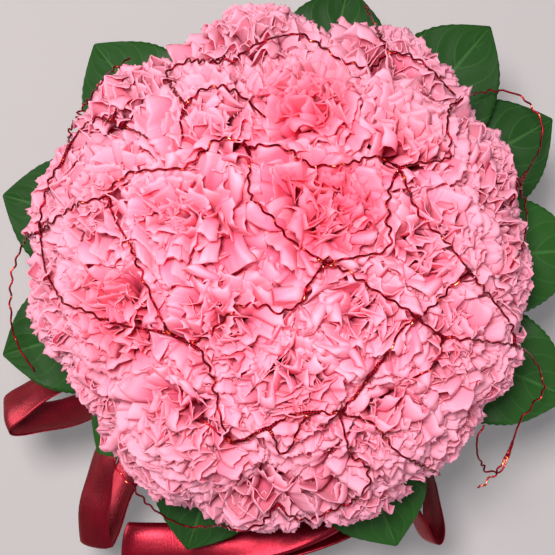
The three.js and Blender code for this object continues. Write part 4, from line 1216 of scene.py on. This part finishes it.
steepest = math.pi / 2 * 0.97
latitude = np.linspace(-steepest, steepest, KNOT_ROWS)[:, None]
longitude = np.linspace(0, 2 * math.pi, KNOT_COLUMNS, endpoint=False)[None]
folds = 1 + np.cos(KNOT_FOLDS * longitude + 2.6 * np.sin(latitude))
folds = 1 - FOLD_DEPTH * folds * np.cos(latitude) ** 0.5
folds = folds - CREASE_DEPTH * np.cos(KNOT_CREASES * longitude - 3 * latitude) * np.cos(latitude)
square = np.abs(np.cos(latitude)) ** 0.62 * folds
knot_points = (knot_centre
               + (KNOT_HALF[0] * square * np.cos(longitude))[..., None] * out_of_knot
               + (KNOT_HALF[1] * square * np.sin(longitude))[..., None] * along_knot
               + (KNOT_HALF[2] * np.sin(latitude) * np.ones_like(longitude))[..., None] * UP)
knot_faces = capped_faces(KNOT_ROWS, KNOT_COLUMNS)
knot = new_piece("satin_knot", knot_points.reshape(-1, 3), knot_faces, ribbon_satin)
add_attribute(knot.data, "along", np.repeat(latitude[:, 0] * KNOT_HALF[2], KNOT_COLUMNS))
add_attribute(knot.data, "across", np.tile(np.sin(longitude[0]) * 9, KNOT_ROWS))
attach(knot, "root")
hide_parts("ribbon_knot")

loops = {
    # spine from the knot, with the direction of the ribbon's width at each end, and half the gap
    "left": (on_knot(0, -7.2, 6.5), vec(-55, -30, 134), vec(-92, -60, 136), vec(-151, -78, 138),
             vec(0, 0, -1), vec(-0.4, 0.58, -0.7), 17),
    "lower_left": (on_knot(0, -7.8, -6.5), vec(-58, -46, 96), vec(-98, -84, 100), vec(-106, -156, 108),
                   vec(0, 0, -1), vec(-0.79, 0.11, -0.6), 12),
    "front": (on_knot(0, 3.9, -6.5), vec(92, -92, 98), vec(74, -160, 122), vec(-88, -150, 128),
              vec(0, 0, 1), vec(0, -1, 0.1), 12),
    "right": (on_knot(0, 7.3, 6.5), vec(40, -52, 124), vec(72, -92, 138), vec(82, -146, 134),
              vec(0, 0, 1), vec(0.3, 0.1, 0.95), 11),
}


def squared_to(directions, headings):
    """Directions turned square to headings, at unit length."""
    directions = directions - headings * (directions * headings).sum(1)[:, None]
    return directions / np.linalg.norm(directions, axis=1)[:, None]


for name, (root, reach, bend, tip, across_at_root, across_at_tip, half_gap) in loops.items():
    turn = np.radians(np.linspace(PLY_START, 360 - PLY_START, LOOP_ROWS))
    outward = np.sin(turn / 2) ** 2
    fine = np.linspace(0, 1, 400)
    spine = bezier(root, reach, bend, tip, fine)
    heading = np.stack([np.interp(outward, fine, column) for column in headings_of(spine).T], 1)
    across = squared_to(across_at_root + (across_at_tip - across_at_root) * outward[:, None], heading)
    rise = np.cross(across, heading)
    side = np.sin(turn) * np.sqrt(np.sin(turn / 2))
    centres = bezier(root, reach, bend, tip, outward) + rise * (half_gap * side)[:, None]
    facing = squared_to(np.cross(headings_of(centres), across), headings_of(centres))
    piece, length = satin_piece(f"satin_loop_{name}", f"ribbon_loop_{name}", centres, across, facing,
                                gathered(LOOP_OPENING, outward), LOOP_CURL, LOOP_FLUTTER)

tails = {
    # how far along the knot it starts, azimuth, reach and height of its end
    "left": (-4, 236, 66, 34),
    "right": (4, 268, 62, 24),
}
for name, (start, azimuth, reach, lowest) in tails.items():
    share = np.linspace(0, 1, TAIL_ROWS)
    centres = bezier(on_knot(1.5, start, -11.3), polar(TAIL_BEND[0], azimuth, WAIST_HEIGHT + TAIL_BEND[1]),
                     polar(reach + TAIL_FALL[0], azimuth, lowest + TAIL_FALL[1]),
                     polar(reach, azimuth, lowest), share)
    across = squared_to(np.tile(polar(1, azimuth + 90), (len(share), 1)), headings_of(centres))
    facing = np.cross(headings_of(centres), across)
    piece, length = satin_piece(f"satin_tail_{name}", f"ribbon_tail_{name}", centres, across, facing,
                                gathered(TAIL_OPENING, share), TAIL_CURL, TAIL_FLUTTER, TAIL_SLANT)
